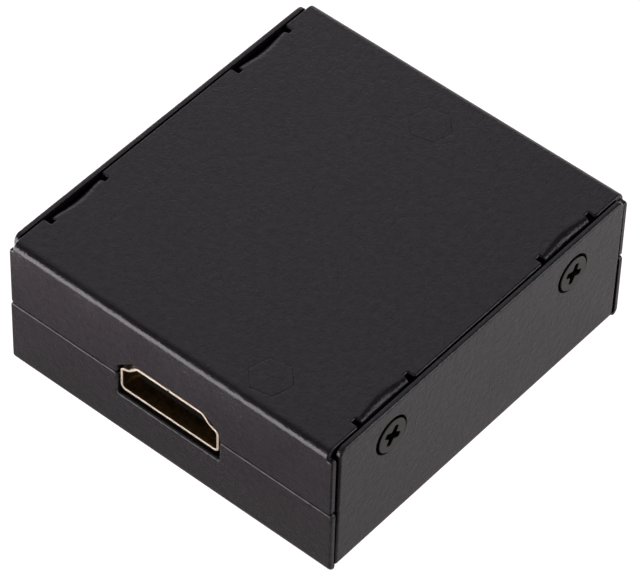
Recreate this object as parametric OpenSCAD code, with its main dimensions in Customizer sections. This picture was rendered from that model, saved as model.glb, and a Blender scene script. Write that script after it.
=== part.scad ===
// Small powered video splitter in a folded sheet case: one input at the front, two outputs at the rear.
// Millimetres, Z up, origin at the middle of the underside.
// The object lies as in the photograph, with the plate that carries the circuit board on top.

/* [Case] */
// Width across the side plates
case_w = 48; // [47:0.5:60]
// Depth over the front and rear flanges
case_d = 52; // [51:0.5:70]
// Height of the closed case
case_h = 20; // [19.5:0.5:26]
// Thickness of the coated sheet
sheet_t = 0.7; // [0.65:0.05:0.8]
// Inside radius of every fold
fold_in = 0.35; // [0.2:0.05:0.4]
// Rounding of the flanges' cut corners
flange_corner = 0.4; // [0.2:0.1:0.8]
// Rounding of the side plates' upper corners
side_corner = 1; // [0.5:0.1:2]
// Height of the seam between the flanges, as a share of the case height
seam_share = 0.5; // [0.45:0.01:0.55]

/* [Clearances] */
// Gap between the upper and the lower flanges
seam_gap = 0.2; // [0.1:0.05:0.4]
// Gap between the upper plate and each side plate
plate_gap = 0.15; // [0.1:0.05:0.3]
// Gap between a side plate's end and the flange in front of it
end_gap = 0.4; // [0.2:0.05:0.5]
// How far the upper flanges stop short of the side plates' outer faces
flange_inset = 0.15; // [0:0.05:0.4]
// Slit between the folds at the lower corners
corner_slit = 0.3; // [0.2:0.05:0.6]
// Gap between a tab and the side plate it is screwed to
tab_gap = 0.2; // [0.1:0.05:0.3]
// Gap between a receptacle and its cut-out
port_gap = 0.27; // [0.15:0.01:0.5]
// Extra gap under a receptacle
port_sill = 0.8; // [0.4:0.1:1.2]
// Radial gap of a screw in its thread
thread_gap = 0.05; // [0.03:0.01:0.1]
// Gap round a lead or leg in the board
lead_gap = 0.15; // [0.1:0.05:0.25]
// Gap between pressed or inserted parts and their seats
fit_gap = 0.03; // [0.02:0.01:0.06]

/* [Screw tabs] */
// Width of one tab
tab_w = 8.2; // [7:0.1:10]
// Distance from a tab's middle to the end of the case
tab_inset = 10; // [9.5:0.5:12]
// Length of a tab below the top of the case
tab_drop = 9; // [8.5:0.5:10]
// Width of the relief notch beside a tab
notch_w = 0.75; // [0.5:0.05:1]
// Depth of the relief notch from the plate's edge
notch_deep = 1.1; // [0.9:0.05:1.3]
// How far the fold is drawn in at the tab's middle
tab_dish = 0.6; // [0.3:0.05:0.7]
// Height of the drawn-in zone below the top
dish_drop = 2.2; // [1.8:0.1:2.5]
// Outer diameter of the drawn collar that carries the thread
collar_d = 4.2; // [4:0.1:5]
// Length of that collar
collar_len = 0.9; // [0.6:0.1:1.2]

/* [Case screws] */
// Thread diameter
screw_d = 2.5; // [2.5:0.1:2.6]
// Length from the head's face to the tip
screw_len = 4; // [4:0.1:4.3]
// Head diameter
screw_head_d = 4.8; // [4.6:0.1:5]
// Height of the straight rim of the head
screw_rim = 0.35; // [0.3:0.05:0.4]
// How far the head stands out of the side plate
screw_proud = 0.15; // [0.05:0.05:0.2]
// Distance from the screws to the top of the case
screw_drop = 5; // [4.8:0.1:5.2]
// Diameter of the coined ring round the head
ring_d = 5.35; // [5.2:0.05:5.6]
// Depth of that ring
ring_deep = 0.25; // [0.2:0.05:0.3]
// Span of the cross recess
cross_w = 2.7; // [2.4:0.1:3]
// Width of one wing of the cross
cross_t = 0.7; // [0.5:0.05:0.9]
// Depth of the cross recess
cross_deep = 1; // [0.7:0.1:1.1]

/* [Board and standoffs] */
// Board thickness
board_t = 1.6; // [1.4:0.1:1.6]
// Distance from the board's side edges to the case's side faces
board_side = 4.2; // [4.2:0.1:4.4]
// Distance from the board's ends to the case's end faces
board_end = 1.7; // [1.4:0.1:2]
// Seat height of a receptacle above the board's face
board_seat = 0.05; // [0.03:0.01:0.1]
// Width of the standoff's hexagon head across flats
hex_w = 4.8; // [4.6:0.1:5]
// Thickness of the hexagon head
hex_t = 0.5; // [0.4:0.05:0.6]
// Diameter of the standoff's barrel
barrel_d = 4.2; // [4:0.1:4.4]
// Turn of the hexagon heads on the plate
hex_turn = 13; // [0:1:30]
// Sideways place of the front standoff
front_post_x = 11.4; // [11:0.1:12]
// Distance from the front standoff to the front face
front_post_in = 4.3; // [4.2:0.1:5]
// Distance from the rear standoff to the rear face
rear_post_in = 6.5; // [6:0.1:7.5]
// Thread of the board screws
post_screw_d = 2.5; // [2.5:0.1:2.6]
// Length of the board screws under the head
post_screw_len = 5; // [4.5:0.1:5.2]
// Head diameter of the board screws
post_head_d = 5; // [4.6:0.1:5.2]
// Head height of the board screws
post_head_t = 1.9; // [1.6:0.1:2.1]

/* [Receptacles] */
// Inside width of the shell
port_w = 14; // [13.9:0.05:14.1]
// Inside height of the shell
port_h = 4.55; // [4.5:0.05:4.6]
// Wall of the shell
port_wall = 0.33; // [0.3:0.01:0.36]
// Length of the shell
port_len = 11.4; // [11:0.1:12]
// How far a mouth lies behind the case's end face
port_recess = 0.3; // [0.1:0.05:0.6]
// Distance from a board edge to the middle of an output
output_in = 8.5; // [8.3:0.1:9]
// Width of the tongue
tongue_w = 11; // [10.6:0.1:11.4]
// Thickness of the tongue
tongue_t = 1.3; // [1.2:0.05:1.4]
// How far the tongue lies towards the wide side
tongue_low = 0.45; // [0.3:0.05:0.6]
// Distance from the mouth to the tongue's tip
tongue_in = 1.5; // [1:0.1:2]
// Distance from the mouth to the solid part of the housing
housing_in = 7.6; // [7:0.1:8]
// Pitch of the contacts in one row
contact_pitch = 1; // [0.98:0.01:1.02]
// Width of a contact
contact_w = 0.42; // [0.35:0.01:0.5]
// Thickness of a contact
contact_t = 0.14; // [0.1:0.01:0.16]
// Width of the seam slit in the shell
seam_slit = 0.08; // [0.05:0.01:0.12]

/* [Power jack] */
// Width of the jack body
jack_w = 9; // [8.6:0.1:9.2]
// Gap between the jack body's underside and the base plate
jack_foot = 0.95; // [0.7:0.05:1.2]
// Length of the jack body
jack_len = 13.6; // [13:0.1:14]
// Gap between the jack's face and the side plate
jack_gap = 0.5; // [0.4:0.05:0.7]
// Distance from the board to the jack's axis
jack_axis = 6.5; // [6.4:0.05:6.6]
// Inside diameter of the socket
jack_bore = 6.3; // [6.2:0.05:6.4]
// Depth of the socket
jack_deep = 9.4; // [9:0.1:9.6]
// Diameter of the centre pin
jack_pin_d = 2; // [1.9:0.05:2.1]
// Diameter of the pin's root in the body
jack_root_d = 2.6; // [2.4:0.1:2.8]
// How far the pin's tip lies behind the jack's face
jack_pin_in = 1; // [0.6:0.1:1.5]
// Hole for the plug in the side plate
jack_hole_d = 8; // [7.6:0.1:8.4]

/* [Status lamp] */
// Diameter of the lamp
lamp_d = 3; // [2.9:0.1:3.1]
// Length of the lamp
lamp_len = 5.2; // [5:0.1:5.4]
// Gap between the lamp's tip and the side plate
lamp_gap = 0.6; // [0.5:0.05:0.8]
// Distance from the board to the lamp's axis
lamp_drop = 2.4; // [2.2:0.1:2.6]
// Distance from the jack's middle to the lamp
lamp_y = 9; // [8.5:0.1:9.5]
// Hole in front of the lamp
lamp_hole_d = 2.6; // [2.4:0.1:3]

/* [Small parts on the board] */
// Gap between a receptacle's tail and the surge arrays behind it
surge_gap = 1.45; // [1.2:0.05:1.6]
// Depth of a surge array
surge_d = 1.1; // [1:0.05:1.3]
// Width of the splitter chip
chip_w = 10; // [9.5:0.1:10]
// Reach of the splitter chip's leads
chip_lead = 1; // [0.8:0.05:1.1]
// Width of a capacitor's base
can_base = 5.2; // [4.8:0.1:5.3]
// Room for the capacitors between the jack and the surge arrays
can_room = 7.25; // [7:0.05:7.5]
// Distance from the surge arrays to the middle of the clock crystal
crystal_in = 7.55; // [6.5:0.05:8]
// Distance from the crystal to the memory chip
memory_step = 10.4; // [9:0.1:10.8]
// Distance from the board's front end to the middle of the filter coil
coil_in = 3.4; // [3:0.1:4]
// Width of the filter coil
coil_w = 5; // [4.5:0.1:5.2]

/* [Hidden] */
$fn = 64;
fold_out = fold_in + sheet_t;
half_w = case_w / 2;
half_d = case_d / 2;
seam_z = case_h * seam_share;
side_in = half_w - sheet_t;
plate_half = side_in - plate_gap;
ear_half = half_w - flange_inset;
side_half = half_d - sheet_t - end_gap;
tab_out = side_in - tab_gap;
tab_y = half_d - tab_inset;
dish_r = (tab_w * tab_w / 4 + tab_dish * tab_dish) / (2 * tab_dish);
dish_axis = tab_out + dish_r - tab_dish;
screw_z = case_h - screw_drop;
screw_face = half_w + screw_proud;
port_z = case_h / 2;
port_out_h = port_h + 2 * port_wall;
board_low = port_z + port_out_h / 2 + board_seat;
board_top = board_low + board_t;
board_half = half_w - board_side;
board_len = case_d - 2 * board_end;
output_x = board_half - output_in;
front_mouth = -half_d + port_recess;
rear_mouth = half_d - port_recess;
front_tail = front_mouth + port_len;
rear_tail = rear_mouth - port_len;
post_bottom = board_top;
posts = [[front_post_x, -half_d + front_post_in], [0, half_d - rear_post_in]];
tongue_z = -tongue_low;
jack_face = -side_in + jack_gap;
jack_back = jack_face + jack_len;
jack_z = board_low - jack_axis;
jack_h = board_low - sheet_t - jack_foot;
front_free = front_tail + surge_gap + surge_d;
rear_free = rear_tail - surge_gap - surge_d;
chip_reach = chip_w / 2 + chip_lead;
front_row = (front_free - chip_reach) / 2;
rear_row = (rear_free + chip_reach) / 2;
can_y = rear_free - can_room / 2;
jack_y = rear_free - can_room - jack_w / 2;
lamp_mid = jack_y + lamp_y;
coil_y = -board_len / 2 + coil_in;
lamp_tip = -side_in + lamp_gap;
lamp_z = board_low - lamp_drop;
sheet_color = [0.2, 0.19, 0.2];
steel_color = [0.55, 0.55, 0.56];
gold_color = [0.85, 0.76, 0.6];
black_color = [0.06, 0.06, 0.06];
tin_color = [0.75, 0.75, 0.74];

// Unit vector along v.
function unit(v) = v / norm(v);

// Outline grown outwards by w, for points listed anticlockwise.
function side_normal(a, b) = [unit(b - a)[1], -unit(b - a)[0]];
function grown(pts, w) = [for (i = [0:len(pts) - 1])
    let (a = pts[(i + len(pts) - 1) % len(pts)], p = pts[i], b = pts[(i + 1) % len(pts)],
         n = side_normal(a, p), m = side_normal(p, b))
    p + w * (n + m) / (1 + n * m)];

// Points of the arc of radius r that rounds the corner p between a and b.
function corner_arc(a, p, b, r) =
    let (u = unit(a - p), v = unit(b - p), half = acos(u * v) / 2,
         c = p + unit(u + v) * r / sin(half), run = r / tan(half),
         s = p + u * run - c, e = p + v * run - c, turn = 180 - 2 * half,
         sign = s[0] * e[1] - s[1] * e[0] > 0 ? 1 : -1)
    [for (k = [0:6]) let (g = sign * turn * k / 6)
        c + [s[0] * cos(g) - s[1] * sin(g), s[0] * sin(g) + s[1] * cos(g)]];

// Outline with each corner rounded by its own radius; zero leaves it sharp.
function rounded(pts, radii) = [for (i = [0:len(pts) - 1])
    let (a = pts[(i + len(pts) - 1) % len(pts)], p = pts[i], b = pts[(i + 1) % len(pts)])
    each (radii[i] > 0 ? corner_arc(a, p, b, radii[i]) : [p])];

// Flat shape in the X and Z directions, thick along Y from y0 to y1.
module slab_y(y0, y1) {
    translate([0, y1, 0]) rotate([90, 0, 0]) linear_extrude(y1 - y0) children();
}

// Flat shape in the Y and Z directions, thick along X from x0 to x1.
module slab_x(x0, x1) {
    translate([x0, 0, 0]) rotate([90, 0, 90]) linear_extrude(x1 - x0) children();
}

// Round bar along X from x0 to x1, with a diameter for each end.
module bar_x(x0, x1, d0, d1) {
    translate([x0, 0, 0]) rotate([0, 90, 0]) cylinder(h = x1 - x0, d1 = d0, d2 = d1);
}

// Block given by its two corners.
module block(lo, hi) {
    translate(lo) cube(hi - lo);
}

// Section of a fold: a quarter of a ring in the first quadrant.
module fold_section() {
    difference() {
        intersection() {
            circle(fold_out);
            square(fold_out);
        }
        circle(fold_in);
    }
}

// Fold along X over the half length; the section turns outwards to +Y and upwards to +Z.
module fold_x(half_len) {
    slab_x(-half_len, half_len) fold_section();
}

// Inside outline of a receptacle shell, wide side down, narrow side up, anticlockwise.
port_half = port_w / 2;
port_pts = [[-port_half, -port_h / 2], [port_half, -port_h / 2], [port_half, 0.55], [port_half - 1, 1],
            [port_half - 2.3, port_h / 2], [-port_half + 2.3, port_h / 2], [-port_half + 1, 1], [-port_half, 0.55]];
port_radii = [0.55, 0.55, 0.35, 0.5, 0.6, 0.6, 0.5, 0.35];

// Cut-out for a receptacle in a flange, as the outline of the opening.
cut_half = port_half + port_wall + port_gap;
cut_top = port_out_h / 2 + port_gap;
cut_low = -port_out_h / 2 - port_sill;
module port_cut(x) {
    translate([x, port_z]) polygon([[-cut_half, cut_low], [cut_half, cut_low], [cut_half, 1.15],
        [cut_half - 2.2, cut_top], [-cut_half + 2.2, cut_top], [-cut_half, 1.15]]);
}

// Upper flange with its ears, cut for the receptacles at the given places.
module upper_flange(ports) {
    ear_top = case_h - fold_out - 0.15;
    difference() {
        union() {
            polygon(rounded([[-ear_half, seam_z], [ear_half, seam_z], [ear_half, ear_top], [-ear_half, ear_top]],
                [flange_corner, flange_corner, flange_corner, flange_corner]));
            translate([-plate_half, ear_top - 0.5]) square([2 * plate_half, case_h - fold_out - ear_top + 0.5]);
        }
        for (x = ports) port_cut(x);
    }
}

// Lower flange, full width, cut for the receptacles at the given places.
module lower_flange(ports) {
    flange_top = seam_z - seam_gap;
    difference() {
        polygon(rounded([[-half_w, fold_out], [half_w, fold_out], [half_w, flange_top], [-half_w, flange_top]],
            [0, 0, flange_corner, flange_corner]));
        for (x = ports) port_cut(x);
    }
}

// Drawn-in fold of one tab on the right side, round a vertical axis outside the case.
module tab_fold(y) {
    half_angle = asin(tab_w / 2 / dish_r) + 3;
    intersection() {
        translate([dish_axis, y, 0]) rotate([0, 0, 180 - half_angle]) rotate_extrude(angle = 2 * half_angle) {
            translate([dish_r + fold_out, case_h - fold_out]) mirror([1, 0]) fold_section();
            translate([dish_r, case_h - dish_drop]) square([sheet_t, dish_drop - fold_out]);
            translate([dish_r + fold_out, case_h - sheet_t]) square([0.3, sheet_t]);
        }
        block([tab_out - 4, y - tab_w / 2, case_h - dish_drop - 1], [half_w, y + tab_w / 2, case_h + 1]);
    }
}

// One whole tab on the right side: drawn-in fold, flat wall and the threaded collar.
module screw_tab(y) {
    low = case_h - tab_drop;
    hole = screw_d + 2 * thread_gap;
    high = case_h - dish_drop + 0.5;
    difference() {
        union() {
            tab_fold(y);
            translate([0, y, 0]) slab_x(tab_out - sheet_t, tab_out)
                polygon(rounded([[-tab_w / 2, low], [tab_w / 2, low], [tab_w / 2, high], [-tab_w / 2, high]],
                    [1, 1, 0, 0]));
            translate([0, y, screw_z]) bar_x(tab_out - sheet_t - collar_len, tab_out - 0.1, collar_d, collar_d);
        }
        translate([0, y, screw_z]) bar_x(tab_out - 4, tab_out + 1, hole, hole);
        translate([0, y, screw_z]) bar_x(tab_out - 0.65, tab_out + 0.1, screw_d, screw_d + 1.5);
    }
}

// Room that a tab's fold and its two notches take out of the plate's right edge.
module tab_room(y) {
    for (s = [-1, 1])
        translate([plate_half - notch_deep, y + s * (tab_w + notch_w) / 2 - notch_w / 2, case_h - sheet_t - 1])
            cube([notch_deep + 1, notch_w, sheet_t + 2]);
    intersection() {
        translate([dish_axis, y, case_h - sheet_t - 1]) cylinder(h = sheet_t + 2, r = dish_r + fold_out, $fn = 128);
        block([tab_out - 4, y - tab_w / 2, case_h - sheet_t - 1], [half_w, y + tab_w / 2, case_h + 1]);
    }
}

module upper_shell() {
    color(sheet_color) difference() {
        union() {
            difference() {
                block([-plate_half, -half_d + fold_out, case_h - sheet_t], [plate_half, half_d - fold_out, case_h]);
                for (s = [-1, 1]) {
                    tab_room(s * tab_y);
                    mirror([1, 0, 0]) tab_room(s * tab_y);
                }
            }
            for (s = [-1, 1]) {
                screw_tab(s * tab_y);
                mirror([1, 0, 0]) screw_tab(s * tab_y);
            }
            translate([0, half_d - fold_out, case_h - fold_out]) fold_x(plate_half);
            mirror([0, 1, 0]) translate([0, half_d - fold_out, case_h - fold_out]) fold_x(plate_half);
            slab_y(-half_d, -half_d + sheet_t) upper_flange([0]);
            slab_y(half_d - sheet_t, half_d) upper_flange([-output_x, output_x]);
        }
        for (p = posts) translate([p[0], p[1], 0]) {
            translate([0, 0, case_h - 3]) cylinder(h = 4, d = barrel_d + 2 * thread_gap);
            translate([0, 0, case_h - hex_t]) rotate([0, 0, hex_turn]) hex_prism(hex_w + 2 * fit_gap, 1);
        }
    }
}

// Hexagon prism by its width across flats.
module hex_prism(w, h) {
    linear_extrude(h) polygon([for (k = [0:5]) w / 2 / cos(30) * [cos(60 * k), sin(60 * k)]]);
}

// Side plate outline in Y and Z, with a relief at its lower corners.
module side_outline() {
    relief = fold_out + 0.1;
    low_half = half_d - fold_out - corner_slit;
    polygon(rounded([[-low_half, fold_out], [low_half, fold_out], [low_half, relief], [side_half, relief],
        [side_half, case_h], [-side_half, case_h], [-side_half, relief], [-low_half, relief]],
        [0, 0, 0, 0, side_corner, side_corner, 0, 0]));
}

// Seat of one case screw in the right side plate.
module screw_seat() {
    bar_x(half_w - ring_deep, half_w + 1, ring_d, ring_d);
    cone_d = screw_head_d + 0.1;
    bar_x(side_in - 0.2, half_w - ring_deep + 0.01, cone_d - 2 * (sheet_t - ring_deep + 0.2), cone_d);
}

// Right side plate with its fold.
module side_plate() {
    low_half = half_d - fold_out - corner_slit;
    difference() {
        slab_x(side_in, half_w) side_outline();
        for (s = [-1, 1]) translate([0, s * tab_y, screw_z]) screw_seat();
    }
    translate([half_w - fold_out, 0, fold_out]) slab_y(-low_half, low_half) mirror([0, 1]) fold_section();
}

module lower_shell() {
    color(sheet_color) difference() {
        union() {
            block([-half_w + fold_out, -half_d + fold_out, 0], [half_w - fold_out, half_d - fold_out, sheet_t]);
            side_plate();
            mirror([1, 0, 0]) side_plate();
            for (s = [0, 1]) mirror([0, s, 0])
                translate([0, half_d - fold_out, fold_out]) mirror([0, 0, 1]) fold_x(half_w);
            slab_y(-half_d, -half_d + sheet_t) lower_flange([0]);
            slab_y(half_d - sheet_t, half_d) lower_flange([-output_x, output_x]);
        }
        translate([0, jack_y, jack_z]) bar_x(-half_w - 1, -side_in + 1, jack_hole_d, jack_hole_d);
        translate([0, lamp_mid, lamp_z]) bar_x(-half_w - 1, -side_in + 1, lamp_hole_d, lamp_hole_d);
    }
}

// Countersunk cross-recess screw on the right side, head outwards, the cross turned by the given angle.
module case_screw(turn) {
    rim_x = screw_face - screw_rim;
    cone = (screw_head_d - screw_d) / 2;
    tip_x = screw_face - screw_len;
    difference() {
        union() {
            bar_x(rim_x, screw_face, screw_head_d, screw_head_d);
            bar_x(rim_x - cone, rim_x, screw_d, screw_head_d);
            bar_x(tip_x + 0.3, rim_x - cone, screw_d, screw_d);
            bar_x(tip_x, tip_x + 0.3, screw_d - 0.6, screw_d);
        }
        rotate([turn, 0, 0]) {
            block([screw_face - cross_deep, -cross_w / 2, -cross_t / 2], [screw_face + 1, cross_w / 2, cross_t / 2]);
            block([screw_face - cross_deep, -cross_t / 2, -cross_w / 2], [screw_face + 1, cross_t / 2, cross_w / 2]);
        }
    }
}

module case_screws() {
    color(steel_color) for (m = [0, 1]) mirror([m, 0, 0]) {
        translate([0, -tab_y, screw_z]) case_screw(-28);
        translate([0, tab_y, screw_z]) case_screw(-20);
    }
}

module board_standoffs() {
    color(steel_color) for (p = posts) translate([p[0], p[1], 0]) difference() {
        union() {
            translate([0, 0, case_h - hex_t]) rotate([0, 0, hex_turn]) hex_prism(hex_w, hex_t);
            translate([0, 0, post_bottom]) cylinder(h = case_h - hex_t - post_bottom, d = barrel_d);
        }
        translate([0, 0, post_bottom - 1])
            cylinder(h = case_h - 1.2 - post_bottom + 1, d = post_screw_d + 2 * thread_gap);
    }
}

module board_screws() {
    color(steel_color) for (p = posts) translate([p[0], p[1], 0]) difference() {
        union() {
            translate([0, 0, board_low - post_head_t + 0.4]) cylinder(h = post_head_t - 0.4, d = post_head_d);
            translate([0, 0, board_low - post_head_t]) cylinder(h = 0.4, d1 = post_head_d - 0.8, d2 = post_head_d);
            translate([0, 0, board_low]) cylinder(h = post_screw_len - 0.3, d = post_screw_d);
            translate([0, 0, board_low + post_screw_len - 0.3])
                cylinder(h = 0.3, d1 = post_screw_d, d2 = post_screw_d - 0.6);
        }
        for (a = [0, 90]) rotate([0, 0, a])
            block([-cross_w / 2, -cross_t / 2, board_low - post_head_t - 1],
                [cross_w / 2, cross_t / 2, board_low - 0.7]);
    }
}

// Places of a receptacle: input at the front, outputs turned to the rear.
module at_input() {
    translate([0, front_mouth, port_z]) children();
}
module at_output(side) {
    translate([side * output_x, rear_mouth, port_z]) rotate([0, 0, 180]) children();
}

// Legs of a receptacle shell: middle along the length and width of each.
leg_places = [[2.6, 1.4], [8.6, 1.4]];
leg_top = board_top - port_z + 0.4;

// Receptacle shell with its mouth at y = 0, opening towards -Y, board above.
module port_shell() {
    outer = grown(port_pts, port_wall);
    outer_radii = [for (r = port_radii) r + port_wall / 2];
    difference() {
        slab_y(0, port_len) polygon(rounded(outer, outer_radii));
        slab_y(-1, port_len + 1) polygon(rounded(port_pts, port_radii));
        translate([-0.2 - seam_slit / 2, -1, port_h / 2 - 0.2]) cube([seam_slit, port_len + 2, 1]);
        for (s = [-1, 1]) {
            block([s * 3.4 - 1, 3.2, -port_h / 2 - 1], [s * 3.4 + 1, 8.2, -port_h / 2 + 0.1]);
            block([s * 2.6 - 0.9, 3.2, port_h / 2 - 0.1], [s * 2.6 + 0.9, 7.6, port_h / 2 + 1]);
        }
    }
    for (s = [-1, 1]) {
        spring_finger(s * 3.4, 1.3, 5, -1);
        spring_finger(s * 2.6, 1.1, 4.4, 1);
        for (l = leg_places)
            block([s > 0 ? port_half : -port_half - port_wall, l[0] - l[1] / 2, -0.3],
                  [s > 0 ? port_half + port_wall : -port_half, l[0] + l[1] / 2, leg_top]);
    }
}

// Spring finger in a window of the shell, standing in towards the plug.
module spring_finger(x, w, run, side) {
    root = side < 0 ? 8.2 : 7.6;
    lift = 0.5;
    base = port_h / 2;
    scale_z = side;
    translate([x - w / 2, 0, 0]) slab_x(0, w) polygon([
        [root + 0.3, scale_z * base], [root + 0.3, scale_z * (base + port_wall * 0.7)],
        [root - run * 0.75, scale_z * (base - lift + port_wall * 0.7)],
        [root - run + 0.3, scale_z * (base - lift * 0.6 + port_wall * 0.7)],
        [root - run + 0.3, scale_z * (base - lift * 0.6)], [root - run * 0.75, scale_z * (base - lift)]]);
}

// Solid part and tongue of the receptacle's housing.
module port_housing() {
    inner = grown(port_pts, -fit_gap - 0.02);
    difference() {
        union() {
            slab_y(housing_in, port_len - 0.2) polygon(rounded(inner, port_radii));
            slab_y(tongue_in, housing_in + 0.1) translate([-tongue_w / 2, tongue_z - tongue_t / 2])
                polygon(rounded([[0, 0], [tongue_w, 0], [tongue_w, tongue_t], [0, tongue_t]],
                    [0.3, 0.3, 0.3, 0.3]));
        }
        for (i = [0:9]) contact(-4.5 * contact_pitch + i * contact_pitch, -1, fit_gap);
        for (i = [0:8]) contact(-4 * contact_pitch + i * contact_pitch, 1, fit_gap);
        for (s = [-1, 1]) {
            block([s * 3.4 - 1, housing_in - 1, -port_h / 2 - 1], [s * 3.4 + 1, 8.6, -port_h / 2 + 0.6]);
            block([s * 2.6 - 0.9, housing_in - 1, port_h / 2 - 0.6], [s * 2.6 + 0.9, 8.6, port_h / 2 + 1]);
        }
    }
}

// One contact: a strip let into the tongue that runs out behind the housing and up to the board.
module contact(x, row, grow) {
    face = tongue_z + row * (tongue_t / 2);
    z0 = row > 0 ? face - contact_t + 0.04 : face - 0.04;
    back_y = port_len + (row > 0 ? 0.3 : 0.75);
    block([x - contact_w / 2 - grow, tongue_in + 0.5 - grow, z0 - grow],
          [x + contact_w / 2 + grow, back_y + contact_t, z0 + contact_t + grow]);
    if (grow == 0)
        block([x - contact_w / 2, back_y, z0], [x + contact_w / 2, back_y + contact_t, board_low - port_z]);
}

module port_contacts() {
    for (i = [0:9]) contact(-4.5 * contact_pitch + i * contact_pitch, -1, 0);
    for (i = [0:8]) contact(-4 * contact_pitch + i * contact_pitch, 1, 0);
}

// Slots in the board for the legs of one receptacle.
module leg_slots() {
    for (s = [-1, 1], l = leg_places)
        block([s * (port_half + port_wall / 2) - port_wall / 2 - lead_gap, l[0] - l[1] / 2 - lead_gap, 0],
              [s * (port_half + port_wall / 2) + port_wall / 2 + lead_gap, l[0] + l[1] / 2 + lead_gap, leg_top + 2]);
}

module circuit_board() {
    color([0.05, 0.25, 0.12]) difference() {
        translate([0, 0, board_low]) linear_extrude(board_t) polygon(rounded([[-board_half, -board_len / 2],
            [board_half, -board_len / 2], [board_half, board_len / 2], [-board_half, board_len / 2]], [1, 1, 1, 1]));
        for (p = posts) translate([p[0], p[1], board_low - 1]) cylinder(h = board_t + 2, d = post_screw_d + 0.5);
        at_input() leg_slots();
        for (s = [-1, 1]) at_output(s) leg_slots();
        for (t = jack_tails) block([t[0] - t[2] / 2 - lead_gap, t[1] - t[3] / 2 - lead_gap, board_low - 1],
            [t[0] + t[2] / 2 + lead_gap, t[1] + t[3] / 2 + lead_gap, board_top + 1]);
        for (s = [-1, 1]) translate([lamp_leg_x(s), lamp_mid + s * 1.27, board_low - 1])
            cylinder(h = board_t + 2, d = 0.9);
    }
}

module input_shell() {
    color(gold_color) at_input() port_shell();
}
module input_housing() {
    color(black_color) at_input() port_housing();
}
module input_contacts() {
    color(gold_color) at_input() port_contacts();
}
module output_left_shell() {
    color(gold_color) at_output(-1) port_shell();
}
module output_left_housing() {
    color(black_color) at_output(-1) port_housing();
}
module output_left_contacts() {
    color(gold_color) at_output(-1) port_contacts();
}
module output_right_shell() {
    color(gold_color) at_output(1) port_shell();
}
module output_right_housing() {
    color(black_color) at_output(1) port_housing();
}
module output_right_contacts() {
    color(gold_color) at_output(1) port_contacts();
}

// Tails of the jack in the board: place along X and Y, then size along X and Y.
jack_tails = [[jack_back + 0.5, jack_y, 0.6, 2.4], [jack_face + 7.4, jack_y, 2.2, 0.4]];
spring_z = jack_z + jack_bore / 2;

// Body of the power jack: a block with a round socket, a spring slot above it and a plain back.
module jack_body() {
    root_hole = jack_root_d + 2 * fit_gap;
    color(black_color) translate([0, jack_y, 0]) difference() {
        block([jack_face, -jack_w / 2, board_low - jack_h], [jack_back, jack_w / 2, board_low]);
        translate([0, 0, jack_z]) bar_x(jack_face - 1, jack_face + jack_deep, jack_bore, jack_bore);
        translate([0, 0, jack_z]) bar_x(jack_face - 0.1, jack_face + 0.5, jack_bore + 1.2, jack_bore);
        translate([0, 0, jack_z]) bar_x(jack_face + jack_deep - 1, jack_back + 1, root_hole, root_hole);
        block([jack_face + 3, -1.4, jack_z], [jack_face + 9, 1.4, spring_z + 1]);
        block([jack_face + 6.1, -0.5, jack_z], [jack_face + 8.7, 0.5, board_low + 1]);
        for (s = [-1, 1]) translate([jack_back - 5, s * (jack_w / 2 + 0.01), board_low - jack_h - 1])
            rotate([0, 0, 45]) cube([0.7, 0.7, 2 * jack_h], center = true);
    }
}

// Centre pin with its tail behind the body, bent up to the board.
module jack_pin() {
    tip = jack_face + jack_pin_in;
    color(tin_color) translate([0, jack_y, 0]) {
        translate([0, 0, jack_z]) bar_x(tip + 0.5, jack_face + jack_deep, jack_pin_d, jack_pin_d);
        translate([0, 0, jack_z]) bar_x(jack_face + jack_deep, jack_back + 0.4, jack_root_d, jack_root_d);
        translate([0, 0, jack_z]) bar_x(tip, tip + 0.5, jack_pin_d - 0.8, jack_pin_d);
        block([jack_back + 0.2, -1.2, jack_z - 1.2], [jack_back + 0.8, 1.2, board_top + 0.5]);
    }
}

// Side spring: a bowed strip that reaches into the socket, with a tail up to the board.
module jack_spring() {
    color(tin_color) translate([0, jack_y, 0]) {
        slab_y(-1.1, 1.1) polygon([[jack_face + 8.6, spring_z + 0.65], [jack_face + 5.2, spring_z - 0.15],
            [jack_face + 3.4, spring_z + 0.35], [jack_face + 3.4, spring_z + 0.65],
            [jack_face + 5.2, spring_z + 0.15], [jack_face + 8.3, spring_z + 0.95], [jack_face + 8.6, spring_z + 0.95]]);
        block([jack_face + 6.3, -0.2, spring_z + 0.25], [jack_face + 8.5, 0.2, board_top + 0.5]);
    }
}

// Gull-wing lead: foot on the board, rising to the package side; the package lies below the board.
module gull(w, reach, foot, drop, t) {
    translate([0, w / 2, board_low]) rotate([90, 0, 0]) linear_extrude(w) polygon([
        [0, -drop - t / 2], [0, -drop + t / 2], [reach - foot - 0.1, -drop + t / 2], [reach - foot, 0], [reach, 0],
        [reach, -t], [reach - foot + t * 0.8, -t], [reach - foot + t * 0.8 - 0.1, -drop - t / 2]]);
}

// Flat package on the underside of the board, with its lower rim bevelled.
module package(x, y, w, d, h, gap) {
    translate([x, y, board_low - gap - h]) {
        translate([-w / 2, -d / 2, 0.15]) cube([w, d, h - 0.15]);
        translate([-w / 2 + 0.15, -d / 2 + 0.15, 0]) cube([w - 0.3, d - 0.3, 0.15]);
    }
}

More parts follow.
